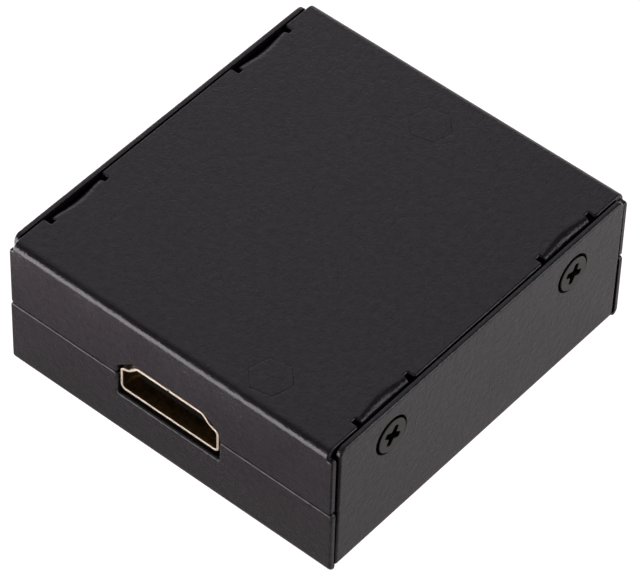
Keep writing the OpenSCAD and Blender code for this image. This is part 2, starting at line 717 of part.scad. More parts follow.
chip_place = [4.5, 0];
module splitter_chip() {
    color(black_color) difference() {
        package(chip_place[0], chip_place[1], chip_w, chip_w, 1.4, 0.1);
        translate([chip_place[0] - 0.39 * chip_w, chip_place[1] - 0.39 * chip_w, board_low - 1.6])
            cylinder(h = 0.2, d = 0.9);
    }
}
module splitter_leads() {
    color(tin_color) for (q = [0:3], i = [0:15])
        translate([chip_place[0], chip_place[1], 0]) rotate([0, 0, 90 * q])
            translate([chip_w / 2, (i - 7.5) * chip_w / 20, 0]) gull(0.22, chip_lead, 0.45 * chip_lead, 0.8, 0.13);
}

memory_place = [14.2, rear_free - crystal_in - memory_step];
module memory_chip() {
    color(black_color) difference() {
        package(memory_place[0], memory_place[1], 3.9, 4.9, 1.4, 0.1);
        translate([memory_place[0] - 1.3, memory_place[1] - 1.8, board_low - 1.6]) cylinder(h = 0.2, d = 0.6);
    }
}
module memory_leads() {
    color(tin_color) for (q = [0, 2], i = [0:3])
        translate([memory_place[0], memory_place[1], 0]) rotate([0, 0, 90 * q])
            translate([1.95, (i - 1.5) * 1.27, 0]) gull(0.42, 1.05, 0.5, 0.75, 0.2);
}

crystal_place = [14.6, rear_free - crystal_in];
module clock_crystal() {
    color(steel_color) translate([crystal_place[0], crystal_place[1], board_low]) mirror([0, 0, 1]) {
        stadium(4.7, 10.8, 0.5);
        stadium(4, 10.1, 3.4);
    }
}

// Plate with round ends, long along Y.
module stadium(w, l, h) {
    for (s = [-1, 1]) translate([0, s * (l - w) / 2, 0]) cylinder(h = h, d = w);
    translate([-w / 2, -(l - w) / 2, 0]) cube([w, l - w, h]);
}

regulator_place = [-13.2, (jack_y - jack_w / 2 + coil_y + coil_w / 2) / 2];
module regulator() {
    color(black_color) package(regulator_place[0], regulator_place[1], 6.5, 3.5, 1.6, 0.1);
}
module regulator_leads() {
    color(tin_color) translate([regulator_place[0], regulator_place[1], 0]) {
        for (i = [-1:1]) rotate([0, 0, -90]) translate([1.75, i * 2.3, 0]) gull(0.7, 1.6, 0.9, 0.9, 0.26);
        rotate([0, 0, 90]) translate([1.75, 0, 0]) gull(3, 1.6, 0.9, 0.9, 0.26);
    }
}

coil_place = [-14.4, coil_y];
module filter_coil() {
    color([0.25, 0.25, 0.26]) package(coil_place[0], coil_place[1], coil_w, coil_w, 2.8, 0);
}

can_places = [[-10.6, can_y], [-4.2, can_y]];
can_d = can_base - 0.3;
module capacitor_cans() {
    color([0.8, 0.8, 0.8]) for (p = can_places) translate([p[0], p[1], board_low]) mirror([0, 0, 1]) {
        translate([0, 0, 0.6]) cylinder(h = 0.9, d = can_d);
        translate([0, 0, 1.5]) cylinder(h = 0.3, d = can_d - 0.3);
        translate([0, 0, 1.8]) cylinder(h = 3.4, d = can_d);
        translate([0, 0, 5.2]) cylinder(h = 0.3, d1 = can_d, d2 = can_d - 0.6);
    }
}
module capacitor_bases() {
    color(black_color) for (p = can_places) translate([p[0], p[1], board_low - 0.6]) linear_extrude(0.6)
        polygon(can_base * [[-0.5, -0.5], [0.3, -0.5], [0.5, -0.3], [0.5, 0.3], [0.3, 0.5], [-0.5, 0.5]]);
}

// Small block-shaped part on the underside of the board.
module chip_part(x, y, w, d, h) {
    block([x - w / 2, y - d / 2, board_low - h], [x + w / 2, y + d / 2, board_low]);
}
module ceramic_capacitors() {
    color([0.62, 0.5, 0.36]) {
        for (i = [0:5]) chip_part(-3.2 + 2.4 * i, front_row, 0.8, 1.6, 0.8);
        for (i = [0:2]) chip_part(2.4 + 2.4 * i, rear_row, 0.8, 1.6, 0.8);
        chip_part(-14.6, jack_y + jack_w / 2 + 1.1, 1.6, 0.8, 0.8);
        chip_part(-17.8, regulator_place[1], 1.25, 2, 1);
    }
}
module resistors() {
    color([0.1, 0.1, 0.1]) {
        for (i = [0:3]) chip_part(-4.4, jack_y - 3.6 + 2.4 * i, 1.6, 0.8, 0.5);
        for (i = [0:3]) chip_part(-2 + 2.4 * i, front_row, 0.8, 1.6, 0.5);
        for (i = [0:1]) chip_part(14, memory_place[1] - 4.4 - 1.5 * i, 1.6, 0.8, 0.5);
        chip_part(-14.4, rear_free - 0.6, 1.6, 0.8, 0.5);
    }
}

// Surge arrays stand in pairs behind each receptacle.
module surge_arrays() {
    color(black_color) {
        for (s = [-1, 1]) chip_part(s * 3.2, front_free - surge_d / 2, 3, surge_d, 0.9);
        for (q = [-1, 1], s = [-1, 1]) chip_part(q * output_x + s * 2.4, rear_free + surge_d / 2, 3, surge_d, 0.9);
    }
}

function lamp_leg_x(s) = lamp_tip + lamp_len + 1.6;

// Round lamp lying under the board, dome towards the side plate.
module status_lamp() {
    dome = lamp_d / 2;
    color([0.75, 0.1, 0.08]) translate([0, lamp_mid, lamp_z]) {
        intersection() {
            translate([lamp_tip + dome, 0, 0]) sphere(d = lamp_d);
            bar_x(lamp_tip - 1, lamp_tip + dome, 2 * lamp_d, 2 * lamp_d);
        }
        bar_x(lamp_tip + dome, lamp_tip + lamp_len, lamp_d, lamp_d);
        bar_x(lamp_tip + lamp_len - 0.9, lamp_tip + lamp_len, lamp_d + 0.8, lamp_d + 0.8);
    }
}
module lamp_legs() {
    color(tin_color) for (s = [-1, 1]) translate([0, lamp_mid + s * 1.27, 0]) {
        leg_x = lamp_leg_x(s);
        block([lamp_tip + lamp_len, -0.22, lamp_z - 0.22], [leg_x + 0.22, 0.22, lamp_z + 0.22]);
        block([leg_x - 0.22, -0.22, lamp_z - 0.22], [leg_x + 0.22, 0.22, board_top + 0.5]);
    }
}

upper_shell();
lower_shell();
case_screws();
board_standoffs();
board_screws();
circuit_board();
input_shell();
input_housing();
input_contacts();
output_left_shell();
output_left_housing();
output_left_contacts();
output_right_shell();
output_right_housing();
output_right_contacts();
jack_body();
jack_pin();
jack_spring();
splitter_chip();
splitter_leads();
memory_chip();
memory_leads();
clock_crystal();
regulator();
regulator_leads();
filter_coil();
capacitor_cans();
capacitor_bases();
ceramic_capacitors();
resistors();
surge_arrays();
status_lamp();
lamp_legs();
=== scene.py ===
"""Visual model of a small powered video splitter in a folded, powder coated sheet case.

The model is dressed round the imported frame. Lengths are in millimetres until a mesh is written, where they
become metres. Each sheet piece is worked out as a flat blank, with rounded cut edges, and then folded.
"""

import logging
from collections.abc import Callable
from dataclasses import dataclass, field
from enum import Enum

import bpy
import numpy as np
from mathutils import Matrix, Vector
from mathutils.geometry import delaunay_2d_cdt


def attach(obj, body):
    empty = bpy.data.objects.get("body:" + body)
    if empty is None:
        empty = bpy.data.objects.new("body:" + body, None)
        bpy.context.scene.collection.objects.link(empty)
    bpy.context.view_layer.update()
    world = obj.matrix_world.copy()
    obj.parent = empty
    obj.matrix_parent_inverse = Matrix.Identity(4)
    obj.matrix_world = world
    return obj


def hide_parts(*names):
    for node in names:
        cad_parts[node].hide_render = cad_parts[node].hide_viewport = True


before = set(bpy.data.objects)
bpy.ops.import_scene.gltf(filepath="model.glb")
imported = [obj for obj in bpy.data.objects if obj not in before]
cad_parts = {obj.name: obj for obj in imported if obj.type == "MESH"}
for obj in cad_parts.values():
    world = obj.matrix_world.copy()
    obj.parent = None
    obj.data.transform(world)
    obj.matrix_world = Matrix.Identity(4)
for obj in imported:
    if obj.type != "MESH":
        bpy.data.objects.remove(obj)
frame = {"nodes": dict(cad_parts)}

Array = np.ndarray
Place = Callable[[Array], Array]
Spot = tuple[float, float]
Corner = tuple[float, float, float]
Color = tuple[float, float, float]
Inputs = dict[str | int, object]
Material, Object = bpy.types.Material, bpy.types.Object
Node, NodeTree, Socket = bpy.types.Node, bpy.types.NodeTree, bpy.types.NodeSocket
Groups = dict[str, NodeTree]
MM = 0.001
# Parts of a noise's range: nearly all of it, its middle and its rare peaks
NOISE_SPAN, NOISE_CORE, NOISE_PEAKS = (0.3, 0.7), (0.35, 0.65), (0.72, 0.8)
# Width of the flat row beside a rounded edge, least distance of a face's inner points from its outline, and
# least and longest run of an outline
FLAT_ROW, GRID_GAP, LEAST_RUN, LONG_RUN = 0.03, 0.03, 0.004, 1.0
LOG = logging.getLogger("splitter")


class Face(Enum):
    """Side of a blank that a filled region belongs to."""

    OUTER = 1
    INNER = -1


class Side(Enum):
    """Side of the case, as the sign of its X direction."""

    RIGHT = 1
    LEFT = -1


class End(Enum):
    """End of the case that a receptacle opens to, as the sign that turns it there."""

    FRONT = 1
    REAR = -1


class Wall(Enum):
    """Wide or narrow wall of a receptacle's shell, as the sign of its Z direction."""

    NARROW = 1
    WIDE = -1


# Finishes

@dataclass
class Wiring:
    """Node tree of a material or a node group, with short ways to add nodes and to join them."""

    tree: NodeTree

    def feed(self, node: Node, inputs: Inputs) -> None:
        """Gives a node's inputs their values, or joins sockets to them.

        Args:
            node: The node.
            inputs: Values or sockets, by the input's name or place.
        """
        for key, value in inputs.items():
            if isinstance(value, Socket):
                self.tree.links.new(value, node.inputs[key])
            else:
                node.inputs[key].default_value = value

    def add(self, kind: str, inputs: Inputs | None = None, **settings: object) -> Node:
        """Adds a node.

        Args:
            kind: Blender's name of the node.
            inputs: Values or sockets for its inputs.
            **settings: The node's own settings.

        Returns:
            The node.
        """
        node = self.tree.nodes.new(kind)
        for key, value in settings.items():
            setattr(node, key, value)
        self.feed(node, inputs or {})
        return node

    def math(self, operation: str, a: object, b: object = 0.0) -> Socket:
        """Result of a sum on two values or sockets."""
        return self.add("ShaderNodeMath", {0: a, 1: b}, operation=operation).outputs[0]

    def weighed(self, a: Socket, b: Socket, share: float = 0.6) -> Socket:
        """A share of one value and the rest of another."""
        return self.math("ADD", self.math("MULTIPLY", a, share), self.math("MULTIPLY", b, 1 - share))

    def spread(self, value: Socket, span: Spot, to: Spot = (0.0, 1.0)) -> Socket:
        """Value carried from one range to another, kept inside it."""
        inputs = dict(enumerate((value, *span, *to)))
        return self.add("ShaderNodeMapRange", inputs).outputs[0]

    def blend(self, share: Socket, a: object, b: object) -> Socket:
        """Colour between two colours or sockets."""
        return self.add("ShaderNodeMix", {0: share, 6: a, 7: b}, data_type="RGBA").outputs[2]

    def noise(self, at: Socket, scale: Socket, detail: float, rough: float = 0.5) -> Socket:
        """Noise between 0 and 1."""
        inputs = {"Vector": at, "Scale": scale, "Detail": detail, "Roughness": rough}
        return self.add("ShaderNodeTexNoise", inputs).outputs[0]

    def group(self, tree: NodeTree, at: Socket, size_mm: float) -> bpy.types.NodeOutputs:
        """Outputs of a node group that is placed with coordinates and the size of its pattern."""
        inputs = {"Vector": at, "Scale": 1.0 / (size_mm * MM)}
        return self.add("ShaderNodeGroup", inputs, node_tree=tree).outputs

    def relief(self, height: Socket, depth_mm: float) -> Socket:
        """Normal of a relief with a depth."""
        inputs = {"Height": height, "Strength": 1.0, "Distance": depth_mm * MM}
        return self.add("ShaderNodeBump", inputs).outputs["Normal"]


def new_group(name: str, gives: tuple[str, ...]) -> tuple[Wiring, Socket, Socket, Node]:
    """Starts a node group that takes coordinates and a scale.

    Args:
        name: Name of the group.
        gives: Names of its outputs, which are all values.

    Returns:
        The group's wiring, its coordinates, its scale and its output node.
    """
    tree = bpy.data.node_groups.new(name, "ShaderNodeTree")
    tree.interface.new_socket(name="Vector", in_out="INPUT", socket_type="NodeSocketVector")
    tree.interface.new_socket(name="Scale", in_out="INPUT", socket_type="NodeSocketFloat")
    for key in gives:
        tree.interface.new_socket(name=key, in_out="OUTPUT", socket_type="NodeSocketFloat")
    g = Wiring(tree)
    at, scale = g.add("NodeGroupInput").outputs[:2]
    return g, at, scale, g.add("NodeGroupOutput")


def surface_grain() -> NodeTree:
    """Group for the fine relief of coats and mouldings: two sizes of grain, broad mottling and rare specks.

    Returns:
        The group.
    """
    g, at, scale, gives = new_group("surface_grain", ("Height", "Mottle", "Speck"))
    fine = g.noise(at, scale, 2.0, 0.6)
    peel, broad, dots = (g.noise(at, g.math("MULTIPLY", scale, finer), detail)
                         for finer, detail in ((0.3, 1.0), (0.03, 3.0), (0.8, 0.0)))
    g.feed(gives, {"Height": g.weighed(fine, peel), "Mottle": g.spread(broad, NOISE_SPAN),
                   "Speck": g.spread(dots, NOISE_PEAKS)})
    return g.tree


def arris_wear() -> NodeTree:
    """Group for edge wear, and for the painted highlight on the lower shell's flanges: arris values broken up
    by noise.

    Returns:
        The group.
    """
    g, at, scale, gives = new_group("arris_wear", ("Worn",))
    mark = g.add("ShaderNodeAttribute", attribute_name="arris").outputs["Fac"]
    broken = g.spread(g.noise(at, scale, 3.0), NOISE_CORE, (0.25, 1.0))
    g.feed(gives, {"Worn": g.math("MULTIPLY", mark, broken)})
    return g.tree


def rolled_streaks() -> NodeTree:
    """Group for drawn and rolled metal: long fine streaks along one direction of the object.

    Returns:
        The group.
    """
    g, at, scale, gives = new_group("rolled_streaks", ("Streak", "Tarnish"))
    drawn = g.add("ShaderNodeMapping", {"Vector": at, "Scale": (1.0, 0.04, 1.0)}).outputs[0]
    cloud = g.noise(at, g.math("MULTIPLY", scale, 0.1), 2.0)
    g.feed(gives, {"Streak": g.spread(g.noise(drawn, scale, 3.0), NOISE_SPAN),
                   "Tarnish": g.spread(cloud, (0.35, 0.75))})
    return g.tree


def shared_groups() -> Groups:
    """Node groups of the model by name."""
    return {tree.name: tree for tree in (surface_grain(), arris_wear(), rolled_streaks())}


@dataclass(frozen=True)
class Finish:
    """What every finish has: the name of its material."""

    name: str

    def start(self) -> tuple[Material, Wiring, Node, Socket]:
        """Starts the material.

        Returns:
            The material, its wiring, its shader and its Object coordinates.
        """
        mat = bpy.data.materials.new(self.name)
        mat.use_nodes = True
        n = Wiring(mat.node_tree)
        return mat, n, mat.node_tree.nodes["Principled BSDF"], n.add("ShaderNodeTexCoord").outputs["Object"]


@dataclass(frozen=True)
class Coat(Finish):
    """Finish of a coat or a moulding.

    Attributes:
        dark: Darker colour.
        light: Lighter colour of the mottling.
        worn: Colour of worn edges, of the specks and of the painted highlight on the lower shell's flanges.
        rough: Least and greatest roughness.
        grain_mm: Size of the fine grain.
        depth_mm: Depth of the relief.
        wear: How far the edges show their own colour.
        speck: How far the specks do.
        metallic: Metallic share.
        level: Specular level.
        gloss: Share of clear gloss on the high spots of the grain.
    """

    dark: Color
    light: Color
    worn: Color
    rough: Spot
    grain_mm: float = 0.3
    depth_mm: float = 0.012
    wear: float = 0.0
    speck: float = 0.06
    metallic: float = 0.0
    level: float = 0.5
    gloss: float = 0.0

    def build(self, groups: Groups) -> Material:
        """Makes the material.

        Args:
            groups: Node groups by name.

        Returns:
            The material.
        """
        mat, n, shader, at = self.start()
        grain = n.group(groups["surface_grain"], at, self.grain_mm)
        worn = n.group(groups["arris_wear"], at, 4 * self.grain_mm)["Worn"]
        height, mottle = grain["Height"], grain["Mottle"]
        specks = n.math("MULTIPLY", grain["Speck"], self.speck)
        # Edge wear, specks and, on the lower shell's flanges, a painted highlight, all in the lighter edge
        # colour.
        mark = n.math("MAXIMUM", n.math("MULTIPLY", worn, self.wear), specks)
        tone = n.blend(mottle, (*self.dark, 1), (*self.light, 1))
        n.feed(shader, {"Base Color": n.blend(mark, tone, (*self.worn, 1)),
                        "Roughness": n.spread(n.weighed(height, mottle), NOISE_SPAN, self.rough),
                        "Normal": n.relief(height, self.depth_mm),
                        "Metallic": self.metallic, "Specular IOR Level": self.level})
        if self.gloss:
            n.feed(shader, {"Coat Weight": n.spread(height, NOISE_CORE, (0.0, self.gloss)),
                            "Coat Roughness": self.rough[1]})
        return mat


@dataclass(frozen=True)
class Metal(Finish):
    """Finish of bare or plated metal.

    Attributes:
        bright: Colour of the clean metal.
        dull: Colour of the tarnish.
        rough: Least and greatest roughness.
        streak_mm: Width of the streaks.
        depth_mm: Depth of the streaks.
    """

    bright: Color
    dull: Color
    rough: Spot
    streak_mm: float = 0.05
    depth_mm: float = 0.002

    def build(self, groups: Groups) -> Material:
        """Makes the material.

        Args:
            groups: Node groups by name.

        Returns:
            The material.
        """
        mat, n, shader, at = self.start()
        rolled = n.group(groups["rolled_streaks"], at, self.streak_mm)
        n.feed(shader, {"Base Color": n.blend(rolled["Tarnish"], (*self.bright, 1), (*self.dull, 1)),
                        "Roughness": n.spread(rolled["Streak"], (0.0, 1.0), self.rough),
                        "Normal": n.relief(rolled["Streak"], self.depth_mm), "Metallic": 1.0})
        return mat


@dataclass(frozen=True)
class Resin(Finish):
    """Finish of clear tinted resin.

    Attributes:
        tint: Colour of the resin.
        cloudy: Colour of its paler streaks.
        rough: Least and greatest roughness.
        grain_mm: Size of the fine grain.
        clear: Share of light that goes through.
        bending: Index of refraction.
    """

    tint: Color
    cloudy: Color
    rough: Spot = (0.08, 0.16)
    grain_mm: float = 0.6
    clear: float = 0.6
    bending: float = 1.5

    def build(self, groups: Groups) -> Material:
        """Makes the material.

        Args:
            groups: Node groups by name.

        Returns:
            The material.
        """
        mat, n, shader, at = self.start()
        grain = n.group(groups["surface_grain"], at, self.grain_mm)
        n.feed(shader, {"Base Color": n.blend(grain["Mottle"], (*self.tint, 1), (*self.cloudy, 1)),
                        "Roughness": n.spread(grain["Height"], NOISE_SPAN, self.rough),
                        "Transmission Weight": self.clear, "IOR": self.bending})
        return mat


AnyFinish = Coat | Metal | Resin
POWDER = Coat("black_powder_coat", (0.0105, 0.0075, 0.0115), (0.0135, 0.0100, 0.0145), (0.050, 0.047, 0.045),
              (0.18, 0.28), grain_mm=0.30, depth_mm=0.09, wear=0.2, level=0.32, gloss=0.22)
# Near-black painted shade, laid on the deep walls and floors of the screws' recesses and on the seats' cone
# walls.
SHADE = Coat("oiled_black_recess", (0.002, 0.002, 0.002), (0.003, 0.003, 0.003), (0.004, 0.004, 0.004),
             (0.7, 0.8), grain_mm=0.1, level=0.08)
BLACKED = Coat("blacked_screw_steel", (0.030, 0.028, 0.027), (0.045, 0.042, 0.040), (0.10, 0.095, 0.09),
               (0.34, 0.48), grain_mm=0.12, depth_mm=0.003, wear=0.3, metallic=0.3)
HOUSING = Coat("black_housing_plastic", (0.0025, 0.0022, 0.002), (0.004, 0.0035, 0.003),
               (0.006, 0.006, 0.006), (0.70, 0.85), grain_mm=0.1, level=0.06)
PACKAGE = Coat("black_package_resin", (0.013, 0.013, 0.014), (0.02, 0.02, 0.021), (0.04, 0.04, 0.04),
               (0.5, 0.62), grain_mm=0.08)
LAMINATE = Coat("green_board_laminate", (0.008, 0.055, 0.022), (0.012, 0.085, 0.035), (0.05, 0.14, 0.07),
                (0.28, 0.42), grain_mm=0.5)
CERAMIC = Coat("tan_ceramic", (0.30, 0.20, 0.11), (0.38, 0.27, 0.16), (0.5, 0.4, 0.3), (0.35, 0.5),
               grain_mm=0.1)
FERRITE = Coat("grey_ferrite", (0.045, 0.045, 0.048), (0.07, 0.07, 0.074), (0.1, 0.1, 0.1), (0.45, 0.6),
               grain_mm=0.12)
GOLD = Metal("pale_gold_plate", (0.90, 0.79, 0.67), (0.84, 0.71, 0.56), (0.38, 0.48))
# Dark brown painted shade, laid on the inner faces and spring fingers of the receptacles' shells.
INNER_SHADE = Metal("dull_brown_plate", (0.40, 0.28, 0.14), (0.18, 0.12, 0.05), (0.30, 0.5))
CONTACT = Metal("contact_gold", (0.90, 0.68, 0.34), (0.80, 0.58, 0.28), (0.2, 0.35))
TIN = Metal("dull_tin", (0.72, 0.72, 0.70), (0.55, 0.55, 0.54), (0.3, 0.5))
STEEL = Metal("bare_post_steel", (0.55, 0.55, 0.56), (0.42, 0.41, 0.40), (0.28, 0.45))
CAN = Metal("drawn_can_metal", (0.82, 0.82, 0.83), (0.70, 0.70, 0.71), (0.22, 0.36))
LENS = Resin("lamp_resin", (0.75, 0.03, 0.02), (0.85, 0.10, 0.06))

# CAD nodes that stay in view, by their finish
NODE_FINISH: dict[AnyFinish, str] = {
    STEEL: "board_screws",
    LAMINATE: "circuit_board",
    HOUSING: "input_housing output_left_housing output_right_housing jack_body capacitor_bases",
    CONTACT: "input_contacts output_left_contacts output_right_contacts",
    TIN: "jack_pin jack_spring splitter_leads memory_leads regulator_leads lamp_legs",
    PACKAGE: "splitter_chip memory_chip regulator resistors surge_arrays",
    CAN: "clock_crystal capacitor_cans",
    FERRITE: "filter_coil",
    CERAMIC: "ceramic_capacitors",
}


@dataclass
class Finishes:
    """Materials of the model, each made once.

    Attributes:
        groups: Shared node groups by name.
        made: Materials by name.
    """

    groups: Groups = field(default_factory=shared_groups)
    made: dict[str, Material] = field(default_factory=dict)

    def of(self, *finishes: AnyFinish) -> list[Material]:
        """Gives the materials of some finishes, and makes those that are asked for the first time.

        Args:
            *finishes: The finishes.

        Returns:
            Their materials, in the same order.
        """
        for finish in finishes:
            if finish.name not in self.made:
                self.made[finish.name] = finish.build(self.groups)
        return [self.made[finish.name] for finish in finishes]

    def dress(self, nodes: dict[str, Object]) -> None:
        """Gives each CAD node that stays in view its finish.

        Args:
            nodes: Objects of the frame by their node's name.
        """
        for finish, names in NODE_FINISH.items():
            for name in names.split():
                nodes[name].data.materials.clear()
                nodes[name].data.materials.append(self.of(finish)[0])
                LOG.info("%s: %s", name, finish.name)


# Outlines and rings

def rounded_loop(corners: Array, steps: int = 6) -> Array:
    """Closed outline with every corner turned into an arc.

    The arc of a corner is c + s cos g + t sin g, while g goes from 0 to the turn of the corner. Its middle c
    lies on the corner's bisector, s leads from c to the arc's first point, and t is s turned by a right angle.

    Args:
        corners: Rows of x, y and radius in order round the outline.
        steps: Pieces of one arc.

    Returns:
        Points of the outline, in the same order.
    """
    at, radius = corners[:, :2], corners[:, 2]
    back = np.roll(at, 1, axis=0) - at
    ahead = np.roll(at, -1, axis=0) - at
    back = back / np.linalg.norm(back, axis=1, keepdims=True)
    ahead = ahead / np.linalg.norm(ahead, axis=1, keepdims=True)
    half = 0.5 * np.arccos(np.clip((back * ahead).sum(axis=1), -1.0, 1.0))
    bisector = (back + ahead) / np.linalg.norm(back + ahead, axis=1, keepdims=True)
    middle = at + bisector * (radius / np.sin(half))[:, None]
    start = at + back * (radius / np.tan(half))[:, None] - middle
    left = back[:, 0] * ahead[:, 1] - back[:, 1] * ahead[:, 0] < 0
    turn = np.where(left, 1.0, -1.0) * (np.pi - 2 * half)
    g = (turn[:, None] * np.linspace(0, 1, steps + 1))[..., None]
    side = np.stack([-start[:, 1], start[:, 0]], axis=1)
    return (middle[:, None] + start[:, None] * np.cos(g) + side[:, None] * np.sin(g)).reshape(-1, 2)


def split_at(loop: Array, axis: int, lines: Array, least: float = 0.04) -> Array:
    """Outline with a point added wherever it crosses one of the lines axis = value.

    Args:
        loop: Points of a closed outline.
        axis: 0 or 1.
        lines: Values of that coordinate.
        least: Least distance of a new point from the ends of its run.

    Returns:
        The outline with the points added in their order.
    """
    step = np.roll(loop, -1, axis=0) - loop
    run = np.where(np.abs(step[:, axis]) < 1e-9, np.inf, step[:, axis])
    t = (lines[None, :] - loop[:, axis, None]) / run[:, None]
    far = np.linalg.norm(step, axis=1)[:, None]
    owner, which = np.nonzero((t * far > least) & ((1 - t) * far > least))
    share = t[owner, which]
    order = np.argsort(np.concatenate([np.arange(len(loop)), owner + share]), kind="stable")
    return np.concatenate([loop, loop[owner] + share[:, None] * step[owner]])[order]


def densified(loop: Array, step: float) -> Array:
    """Outline with its long runs cut into pieces no longer than a step, and its doubled points dropped.

    Args:
        loop: Points of a closed outline.
        step: Longest piece.

    Returns:
        The finer outline.
    """
    loop = loop[np.linalg.norm(loop - np.roll(loop, 1, axis=0), axis=1) > LEAST_RUN]
    run = np.roll(loop, -1, axis=0) - loop
    parts = np.maximum(1, np.ceil(np.linalg.norm(run, axis=1) / step)).astype(int)
    owner = np.repeat(np.arange(len(loop)), parts)
    share = (np.arange(parts.sum()) - (np.cumsum(parts) - parts)[owner]) / parts[owner]
    return loop[owner] + share[:, None] * run[owner]


def left_normals(loop: Array) -> Array:
    """Directions to the left of an outline, long enough that an inset keeps its width round the corners.

    Args:
        loop: Points of a closed outline.

    Returns:
        One direction for each point: the two runs' normals added, over one plus their product.
    """
    run = np.roll(loop, -1, axis=0) - loop
    run = run / np.linalg.norm(run, axis=1, keepdims=True)
    after = np.stack([-run[:, 1], run[:, 0]], axis=1)
    before = np.roll(after, 1, axis=0)
    return (after + before) / (1 + (after * before).sum(axis=1, keepdims=True))


def rim_rows(sheet: float, radius: float, inner: float | None = None, steps: int = 5) -> tuple[Array, Array]:
    """Section of a rounded cut edge, from the outer face over the cut to the inner face.

    The inset is radius (1 - sin g) and the depth radius (1 - cos g), while g goes from 0 to a right angle, and
    the inner face does the same backwards. One more row on each face keeps the flat of the sheet flat.

    Args:
        sheet: Thickness of the sheet.
        radius: Radius of the outer edge.
        inner: Radius of the inner edge, if it is another.
        steps: Pieces of one arc.

    Returns:
        Rows of inset and depth, and for each row how far it lies on the arris, 0 to 1.
    """
    g = np.linspace(0, np.pi / 2, steps + 1)
    arc = np.stack([1 - np.sin(g), 1 - np.cos(g)], axis=1)
    edge = np.concatenate([[[1.0, 0.0]], arc])
    flat = np.zeros((steps + 2, 2))
    flat[0, 0] = FLAT_ROW
    outer, back = radius * edge + flat, ((inner or radius) * edge + flat)[::-1]
    arris = np.concatenate([[0.0], np.sin(2 * g)])
    rows = np.concatenate([outer, np.stack([back[:, 0], sheet - back[:, 1]], axis=1)])
    return rows, np.concatenate([arris, arris[::-1]])


def sunk(rings: Array, depth: Array) -> Array:
    """Rings of a plane, each put at its own depth below it."""
    return np.concatenate([rings, np.broadcast_to(-depth[:, None, None], rings.shape[:2] + (1,))], axis=2)


def rim_stack(loop: Array, rows: Array) -> Array:
    """Rings of a cut edge: the outline moved to its left by each row's inset and down by its depth."""
    return sunk(loop[None] + rows[:, 0, None, None] * left_normals(loop)[None], rows[:, 1])


def round_stack(rows: Array, middle: Spot = (0.0, 0.0), count: int = 48, hole: bool = False) -> Array:
    """Rings of a turned shape about w: each row's radius times the unit circle, at its depth.

    Args:
        rows: Rows of radius and depth.
        middle: Place of the axis.
        count: Points of one ring.
        hole: Whether the rings line a hole, so that they run clockwise.

    Returns:
        Array of rows, points and the three directions.
    """
    g = np.linspace(0, 2 * np.pi, count, endpoint=False)
    ring = np.stack([np.cos(g), np.sin(g)], axis=1)[::-1 if hole else 1]
    return sunk(rows[:, 0, None, None] * ring[None] + np.asarray(middle), rows[:, 1])


def turned(points: Array, degrees: float) -> Array:
    """Points of a plane turned anticlockwise about its origin."""
    g = np.radians(degrees)
    return points @ np.array([[np.cos(g), np.sin(g)], [-np.sin(g), np.cos(g)]])


def box_outline(low_u: float, low_v: float, high_u: float, high_v: float, radius: float) -> Array:
    """Rows of u, v and corner radius round a rectangle, anticlockwise."""
    corners = (low_u, low_v), (high_u, low_v), (high_u, high_v), (low_u, high_v)
    return np.array([(u, v, radius) for u, v in corners])


def divisions(*parts: Array | tuple[float, ...]) -> Array:
    """Values at which a blank is divided, in order and without doubles."""
    return np.unique(np.concatenate(parts).round(6))


def eased(value: Array, low: float, high: float) -> Array:
    """Smooth step from 0 at low to 1 at high: 3 t squared less 2 t cubed."""
    t = np.clip((value - low) / (high - low), 0, 1)
    return t * t * (3 - 2 * t)


def clear_of(points: Array, rings: list[Array], gap: float) -> Array:
    """Which points lie inside the first ring, outside the others and no nearer to any than a gap.

    A point is inside where a ray from it crosses the rings an odd number of times. Its distance is taken to
    the nearest point of each run.

    Args:
        points: Points of the plane.
        rings: Closed outlines.
        gap: Least distance.

    Returns:
        One truth value for each point.
    """
    start = np.concatenate(rings)
    run = np.concatenate([np.roll(r, -1, axis=0) for r in rings]) - start
    rise = np.where(run[:, 1] == 0, np.inf, run[:, 1])
    keep = []
    for part in np.array_split(points, max(1, len(points) // 800)):
        off = part[:, None, :] - start[None]
        share = np.clip((off * run).sum(axis=2) / (run * run).sum(axis=1), 0, 1)
        near = ((off - share[..., None] * run[None]) ** 2).sum(axis=2).min(axis=1) < gap * gap
        above = (off[..., 1] < 0) != (off[..., 1] - run[None, :, 1] < 0)
        crossed = above & (off[..., 0] < off[..., 1] * run[None, :, 0] / rise)
        keep.append((crossed.sum(axis=1) % 2 == 1) & ~near)
    return np.concatenate(keep)


def filled(rings: list[Array], inner: Array) -> Array:
    """Triangles over the region inside the first ring and outside the others.

    Args:
        rings: Closed outlines.
        inner: Points inside the region that the triangles use as well.

    Returns:
        Triangles, anticlockwise, as places in the rings' points followed by the inner ones.
    """
    points = np.concatenate([*rings, inner])
    first = np.cumsum([0] + [len(r) for r in rings])
    order = [np.arange(len(r)) for r in rings]
    runs = [np.stack([o, np.roll(o, -1)], axis=1) + f for o, f in zip(order, first)]
    made = delaunay_2d_cdt([Vector(p) for p in points], np.concatenate(runs).tolist(), [], 1, 1e-7)
    origin = np.array([o[0] for o in made[3]])
    tri = origin[np.array(made[2])]
    doubtful = np.nonzero((tri < first[-1]).all(axis=1))[0]
    tri = np.delete(tri, doubtful[~clear_of(points[tri[doubtful]].mean(axis=1), rings, 0.0)], axis=0)
    a, b, c = points[tri[:, 0]], points[tri[:, 1]], points[tri[:, 2]]
    area = (b - a)[:, 0] * (c - a)[:, 1] - (b - a)[:, 1] * (c - a)[:, 0]
    return np.where((area < 0)[:, None], tri[:, ::-1], tri)


